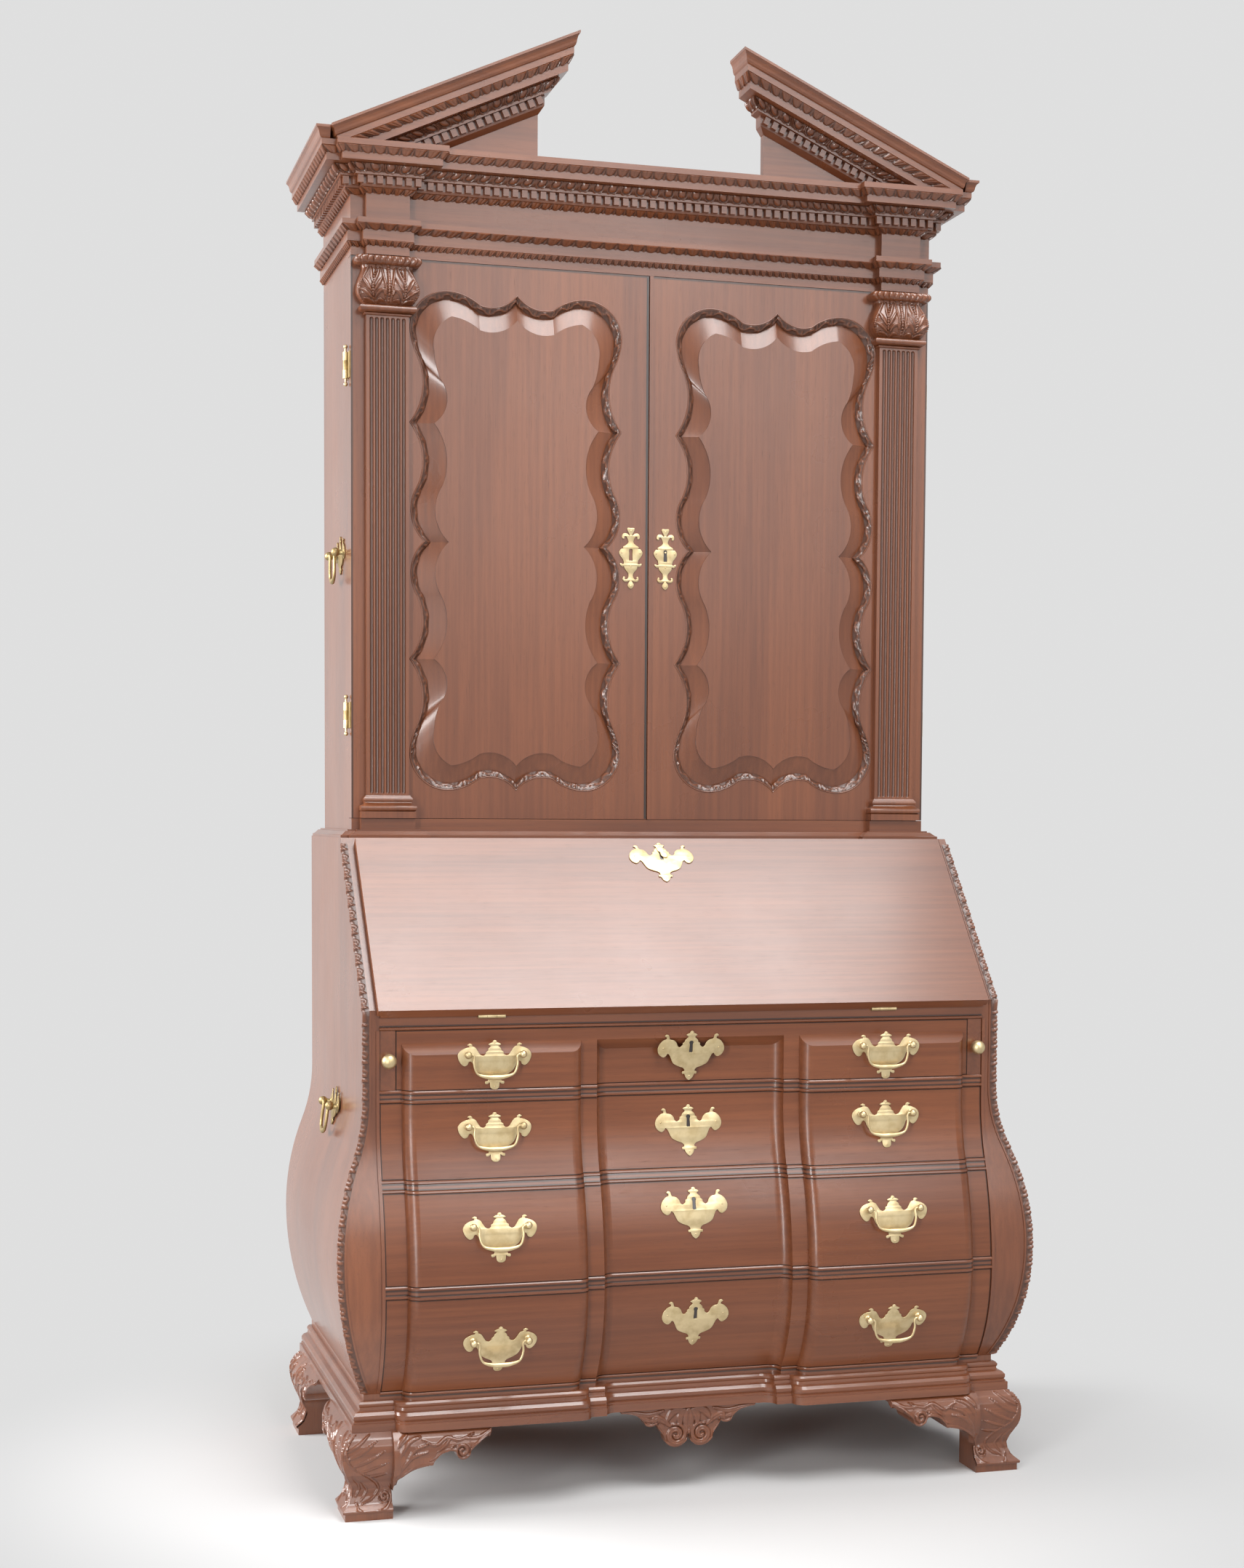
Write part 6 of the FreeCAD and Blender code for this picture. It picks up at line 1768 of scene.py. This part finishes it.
# Block of painted shadow behind the hole of a key plate.
KEYHOLE_SHADOW = ((-3.6, -2.0, -7.4), (3.6, 0.9, 13.0))


@dataclass(frozen=True)
class Pull:
    """A handle: posts on a plate and a bail that hangs in them."""

    post: float = 44.4
    ball: float = 6.1
    stem: float = 3.8
    out: float = 11.0
    arm: float = 34.8
    rod: float = 1.9
    heavy: float = 3.9
    drop: float = 36.0
    corner: float = 20.0
    collar: tuple[float, ...] = (1.5, 1.25, 0.9, 0.9, 0.9)
    sides: int = 12
    flat: float = 0.8

    def posts(self) -> Form:
        """Turn the stems and balls in the plate's frame.

        Returns:
            Their form.
        """
        form = Form()
        for side in (-1, 1):
            line = np.array([(side * self.post, out, 0.0) for out in (1.5, 2.6, 4.0, self.out - 4.0, self.out)])
            form.rod(line, np.array(self.collar) * self.stem, self.sides)
            form.ball((side * self.post, self.out, 0.0), self.ball)
        return form

    def bail(self) -> Form:
        """Bend the bail about its axis, hanging down.

        Returns:
            Its form.
        """
        arm, bend, drop = self.arm, self.corner, self.drop
        right = [(self.post - 2.0, 0.0), (arm + 2.6, 0.0), (arm, -4.0), (arm + 0.4, bend - drop),
                 (arm - 0.26 * bend, 0.3 * bend - drop), (arm - bend, 0.04 * bend - drop), (0.0, -drop)]
        line = smooth(right + [(-x, z) for x, z in reversed(right[:-1])], 6)
        share = faded(np.abs(line[:, 0]) / (arm - 6.0)) * (line[:, 1] < -0.6 * drop)
        thick = self.rod + (self.heavy - self.rod) * np.sin(share * math.pi / 2)
        form = Form()
        form.rod(at_depth(line, 0.0), thick, self.sides, self.flat)
        return form


@dataclass
class DeskBrass:
    """Pulls, key plates and locks of the drawers and the fall."""

    front: float = DESK_FRONT
    swell: Swell = FRONT_SWELL
    relief: float = 18.0
    pull_x: float = 333.5
    openings: tuple[float, ...] = (770.0, 655.2, 515.6, 353.0)
    pull_drop: tuple[float, ...] = (39.0, 39.0, 54.0, 70.0)
    key_drop: tuple[float, ...] = (39.0, 48.0, 40.0, 55.0)
    pull_tall: float = 77.0
    key_tall: float = 83.0
    hollow: float = 311.0
    inside: float = -526.0
    lock: Point = (32.0, 10.0)
    lock_from: float = 56.0
    lock_to: float = 16.0
    hinge: Point = FALL_HINGE
    hinge_x: float = 335.0
    slant: float = FALL_SLANT
    plate_along: float = 308.0
    fall_thick: float = 20.0
    fall_lock: float = 20.0
    leaf: Place = (22.5, 3.0, 30.0)
    leaf_thick: float = 2.0
    knuckles: tuple[Point, ...] = ((-22.1, -7.9), (7.9, 22.1))
    knuckle: float = 3.4
    cover_turn: float = math.radians(25.0)
    cover_out: float = 2.1
    pivot: float = 14.5
    pivot_thick: float = 2.1

    def seat(self, x: float, z: float, relief: float, tall: float) -> Seat:
        """The seat of a fitting on the swelled front.

        Args:
            x: its place across.
            z: its height.
            relief: how far the wood stands out there.
            tall: height of its plate.

        Returns:
            The seat.
        """
        lean = self.swell.lean(z)
        cos, sin = math.cos(lean), math.sin(lean)
        bridge = (tall / 2) ** 2 / (2 * self.hollow) if self.swell.turn < z < self.swell.start else 0.0
        y = -self.front - self.swell.at(z) - relief
        return Seat((x, y - bridge * cos, z + bridge * sin), (0.0, -cos, sin), (0.0, sin, cos))

    def bent(self, plate: Plate, x: float, z: float, relief: float) -> Form:
        """A plate bent to the swelled front.

        Args:
            plate: the flat plate.
            x: its place across.
            z: its height.
            relief: how far the wood stands out there.

        Returns:
            Its form.
        """
        def onto(points: Grid) -> Grid:
            """Lay points of the plate on the wood.

            Args:
                points: rows of (across, out, up).

            Returns:
                Their places.
            """
            height = z + points[:, 2] * math.cos(self.swell.lean(z))
            slope = self.swell.slope(height)
            size = np.hypot(1.0, slope)
            y = -self.front - self.swell.out(height) - relief - points[:, 1] / size
            return np.stack((x + points[:, 0], y, height + points[:, 1] * slope / size), -1)
        return plate.sheet().moved(onto)

    def top_key_seat(self) -> Seat:
        """Find the seat of the top drawer's key plate, which leans against the ceiling of its hollow.

        Returns:
            The seat.
        """
        lean = math.atan(self.relief / self.key_tall)
        cos, sin = math.cos(lean), math.sin(lean)
        above = self.key_drop[0] - 0.8 - 20.5
        origin = (0.0, above * math.tan(lean) - self.front, self.openings[0] - self.key_drop[0])
        return Seat(origin, (0.0, -cos, -sin), (0.0, -sin, cos))

    def drawer(self, index: int) -> None:
        """Dress one drawer.

        Args:
            index: which, counted from the top.
        """
        name, top, pull = DRAWERS[index], self.openings[index], Pull()
        form, dark = Form(), Form()
        z = top - self.pull_drop[index]
        for side, x in (("left", -self.pull_x), ("right", self.pull_x)):
            seat = self.seat(x, z, self.relief, self.pull_tall)
            form.join(self.bent(PULL_PLATE, x, z, self.relief)).join(pull.posts().moved(seat.place))
            bail = pull.bail().moved(seat.raised(pull.out).hanging().place)
            bail.piece(f"{name}_swinging_bail_{side}", BRASS, f"{name}_pull_{side}", f"{name}_bail_{side}")
        z = top - self.key_drop[index]
        if index:
            form.join(self.bent(KEY_PLATE, 0.0, z, -self.relief))
            seat = self.seat(0.0, z, -self.relief, 0.0)
        else:
            seat = self.top_key_seat()
            form.join(KEY_PLATE.sheet().moved(seat.place))
        # A dark block behind the keyhole: painted shadow.
        dark.block(*KEYHOLE_SHADOW, seat.place)
        half, thick = self.lock
        form.block((-half, self.inside, top - self.lock_from), (half, self.inside + thick, top - self.lock_to))
        form.piece(name + "_plates_and_posts", BRASS, name + "_box", name + "_brass")
        dark.piece(name + "_keyhole", SHADOW, name + "_box")

    def slope_seat(self, along: float, out: float) -> Seat:
        """Find a seat in the middle of the fall.

        Args:
            along: its way up the slope.
            out: its way out from the inner face.

        Returns:
            The seat.
        """
        cos, sin = math.cos(self.slant), math.sin(self.slant)
        origin = (0.0, self.hinge[0] + along * cos - out * sin, self.hinge[1] + along * sin + out * cos)
        return Seat(origin, (0.0, -sin, cos), (0.0, cos, sin))

    def fall(self) -> None:
        """Dress the fall: key plate, lock and hinges."""
        seat, inner = self.slope_seat(self.plate_along, self.fall_thick), self.slope_seat(0.0, 0.0)
        form = KEY_PLATE.sheet()
        form.rod(np.array([(0.0, out, self.pivot) for out in (1.0, 2.0, 3.4, 4.4)]), self.pivot_thick, 12)
        form = form.moved(seat.place)
        half, thick = self.lock
        form.block((-half, -thick, self.plate_along - self.fall_lock), (half, 0.0, self.plate_along + self.fall_lock),
                   inner.place)
        wide, low, high = self.leaf
        for middle in (-self.hinge_x, self.hinge_x):
            for ends in self.knuckles:
                line = [(middle + x, *self.hinge) for x in np.linspace(*ends, 4)]
                form.rod(np.array(line), self.knuckle, 14)
            form.block((middle - wide, 0.0, low), (middle + wide, self.leaf_thick, high), inner.place)
        form.piece("fall_plates_and_hinges", BRASS, "fall", "fall_front_brass")
        dark = Form()
        # A dark block behind the keyhole: painted shadow.
        dark.block(*KEYHOLE_SHADOW, seat.place)
        dark.piece("fall_keyhole", SHADOW, "fall")

    def cover(self) -> None:
        """Hang the swinging cover over the fall's keyhole, turned as it rests."""
        cos, sin = math.cos(self.cover_turn), math.sin(self.cover_turn)
        turn = np.array(((cos, 0.0, sin), (0.0, 1.0, 0.0), (-sin, 0.0, cos)))
        seat = self.slope_seat(self.plate_along, self.fall_thick)
        form = COVER.sheet().moved(lambda points: seat.place(points @ turn + (0.0, self.cover_out, self.pivot)))
        form.piece("swinging_keyhole_cover", BRASS, "key_cover", "keyhole_cover")

    def build(self) -> None:
        """Dress the drawers and the fall."""
        for index in range(len(self.openings)):
            self.drawer(index)
        self.fall()
        self.cover()


@dataclass
class DoorBrass:
    """Key plates, locks and hinge leaves of the doors."""

    face: float = CASE_FRONT
    back: float = 273.6
    half: float = CASE_HALF
    axis: float = 519.9
    foot: float = DOOR_FOOT
    plate_x: float = 31.0
    plate_up: float = 448.0
    hinges: tuple[float, ...] = (172.0, 752.0)
    length: float = 43.0
    barrel: float = 4.5
    leaf: tuple[float, ...] = (20.0, 4.9, 0.4)
    leaf_thick: float = 2.0
    lock: tuple[float, ...] = (0.8, 40.0, 10.0, 32.0)
    # Sizes of the painted shadow blocks in the keyhole and where the doors meet.
    keyhole: tuple[float, ...] = (3.3, 0.9, -3.6, 15.6)
    quirk: tuple[float, ...] = (-4.6, -0.9, 0.15, 1.0, 927.0)
    sink: float = 1.0
    pin_up: float = 11.8
    pin: float = 1.5

    def plate(self, z: float) -> None:
        """Fix the key plates and locks.

        Args:
            z: level of their middle.
        """
        form = DOOR_PLATE.sheet().moved(Seat((self.plate_x, -self.face, z)).place)
        near, far, thick, tall = self.lock
        form.block((near, -self.back, z - tall), (far, thick - self.back, z + tall))
        form.pair("door_{}_key_plate", BRASS, "door_{}", "door_{}_brass")

    def leaves(self) -> None:
        """Hang the hinge leaves with their knuckles."""
        form = Form()
        third, side = self.length / 6, self.half + self.leaf_thick
        end, bend, start = (-self.back - deep for deep in self.leaf)
        for level in (self.foot + up for up in self.hinges):
            line = [(self.axis, -self.back, level + step) for step in np.linspace(-third, third, 4)]
            form.rod(np.array(line), self.barrel, 14)
            form.block((self.half, end, level - 3 * third), (side, bend, level + 3 * third))
            form.block((self.half, bend, level - third), (side, start, level + third))
        form.pair("door_{}_hinge_leaves", SHADED_BRASS, "door_{}")

    def dark(self, name: str, body: str, low: Place, high: Place) -> None:
        """Add a dark strip of painted shadow in a gap.

        Args:
            name: name of the piece.
            body: the door that carries it.
            low: its left, near, lower corner as (across, proud of the door's face, level).
            high: the corner across from that one.
        """
        form = Form()
        form.block((low[0], -self.face - low[1], low[2]), (high[0], -self.face - high[1], high[2]))
        form.piece(name, SHADOW, body)

    def build(self) -> None:
        """Dress both doors."""
        x, z = self.plate_x, self.foot + self.plate_up
        self.plate(z)
        self.leaves()
        half, proud, low, high = self.keyhole
        # Painted shadow in the keyhole of the right door.
        self.dark("door_right_keyhole", "door_right", (x - half, proud, z + low), (x + half, -self.sink, z + high))
        # Painted shadow along the gap where the doors meet.
        left, right, proud, low, high = self.quirk
        self.dark("door_meeting_quirk", "door_left", (left, proud, self.foot + low),
                  (right, -self.sink, self.foot + high))
        pin = Form()
        pin.rod(np.array([(x, -self.face - out, z + self.pin_up) for out in (0.2, 1.2, 2.0, 2.5)]), self.pin)
        pin.piece("door_right_lock_pin", BRASS, "door_right")


@dataclass
class CarryingHandles:
    """Plates, posts and bails on the sides of both cases."""

    swell: Swell = SIDE_SWELL
    desk_half: float = DESK_HALF
    case_half: float = CASE_HALF
    upper: Point = (190.0, 1552.0)
    lower: Point = (300.0, 622.0)
    hollow: float = 210.0
    tall: float = 64.0
    narrow: float = 0.78
    above: float = 30 / 22
    below: float = 34 / 55.9
    plate_thick: float = 2.0
    pull: Pull = Pull(36.0, 7.7, 5.0, 15.0, 23.9, 3.4, 4.7, 46.4, 18.0)

    def lower_seat(self) -> Seat:
        """Find the seat of the handle on the swelled side.

        Returns:
            The seat.
        """
        y, z = self.lower
        lean = self.swell.lean(z)
        cos, sin = math.cos(lean), math.sin(lean)
        bridge = (self.tall / 2) ** 2 / (2 * self.hollow)
        origin = (self.desk_half + self.swell.at(z) + bridge * cos, -y, z + bridge * sin)
        return Seat(origin, (cos, 0.0, sin), (-sin, 0.0, cos))

    def build(self) -> None:
        """Hang all four."""
        plates = Form()
        outline = tuple((x * self.narrow, z * (self.above if z > 0 else self.below)) for x, z in PULL_PLATE.half)
        small = Plate(outline, thick=self.plate_thick)
        upper = Seat((self.case_half, -self.upper[0], self.upper[1]), RIGHTWARD)
        for name, seat in (("upper", upper), ("lower", self.lower_seat())):
            plates.join(small.sheet().moved(seat.place)).join(self.pull.posts().moved(seat.place))
            bail = self.pull.bail().moved(seat.raised(self.pull.out).hanging().place)
            bail.pair(f"carrying_handle_{name}_{{}}", SHADED_BRASS, f"carry_{name}_{{}}", f"carrying_bail_{name}_{{}}")
        plates.join(plates.mirrored())
        plates.piece("carrying_plates_and_posts", SHADED_BRASS, hides="carrying_handle_plates")


@dataclass
class Cabinet:
    """Finishes of the pieces that keep their solid shape."""

    lining: float = -526.0
    # Offset of the rails' painted shadow lines from the drawers, and the width of the doors' painted shadow line.
    bead: float = 7.0
    door_line: float = 4.4
    brass: tuple[str, ...] = ("brass", "bail", "knob", "hinge", "handle", "keyhole")
    upright: tuple[str, ...] = ("desk_side", "bookcase_side", "door_", "corner", "feet")
    pine: tuple[tuple[str, Grain], ...] = (("back_boards", Grain.UPRIGHT), ("drawer_runners", Grain.DEEP))

    def finish_of(self, node: str) -> Any:
        """The finish of one node.

        Args:
            node: name of the node.

        Returns:
            The finish.
        """
        if node in DRAWERS:
            low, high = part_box(node)
            # Painted shadow lines along the drawer's top and bottom edges and its ends, where the gaps are.
            return Mahogany(node + "_mahogany", lining=self.lining * MM + BACK, lines=(low.z, high.z), ends=high.x)
        if node.endswith("_frame"):
            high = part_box("door_right_frame")[1]
            # Painted shadow lines along the top of the doors and their outer edges.
            return Mahogany("door_mahogany", Grain.UPRIGHT, lines=(high.z,), ends=high.x, line=self.door_line)
        if node == "drawer_dividers":
            edges, bead = [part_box(drawer) for drawer in DRAWERS], self.bead * MM
            # Painted shadow lines in the quirks of the rails, beside the beads.
            return Mahogany("rail_mahogany", lines=tuple([high.z + bead for low, high in edges]
                                                         + [low.z - bead for low, high in edges]))
        if any(word in node for word in self.brass):
            return BRASS
        if node in dict(self.pine):
            return Pine("planed_pine", dict(self.pine)[node])
        if any(word in node for word in self.upright):
            return UPRIGHT
        return Mahogany("deep_mahogany", Grain.DEEP) if node.startswith("loper") else Mahogany("level_mahogany")

    def dress(self) -> None:
        """Give every node its finish."""
        for name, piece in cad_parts.items():
            material = material_of(self.finish_of(name))
            piece.data.materials.clear()
            piece.data.materials.append(material)
            LOG.info("dressed %s in %s", name, material.name)


def main() -> None:
    """Build the looks round the frame."""
    logging.basicConfig(level=logging.INFO, format="%(name)s: %(message)s")
    Studio().build()
    Cabinet().dress()
    for part in (BookcaseHead(), Doors(), DeskCorners(), Feet(), Drop(), DeskBrass(), DoorBrass(), CarryingHandles()):
        part.build()


if __name__ == "__main__":
    main()
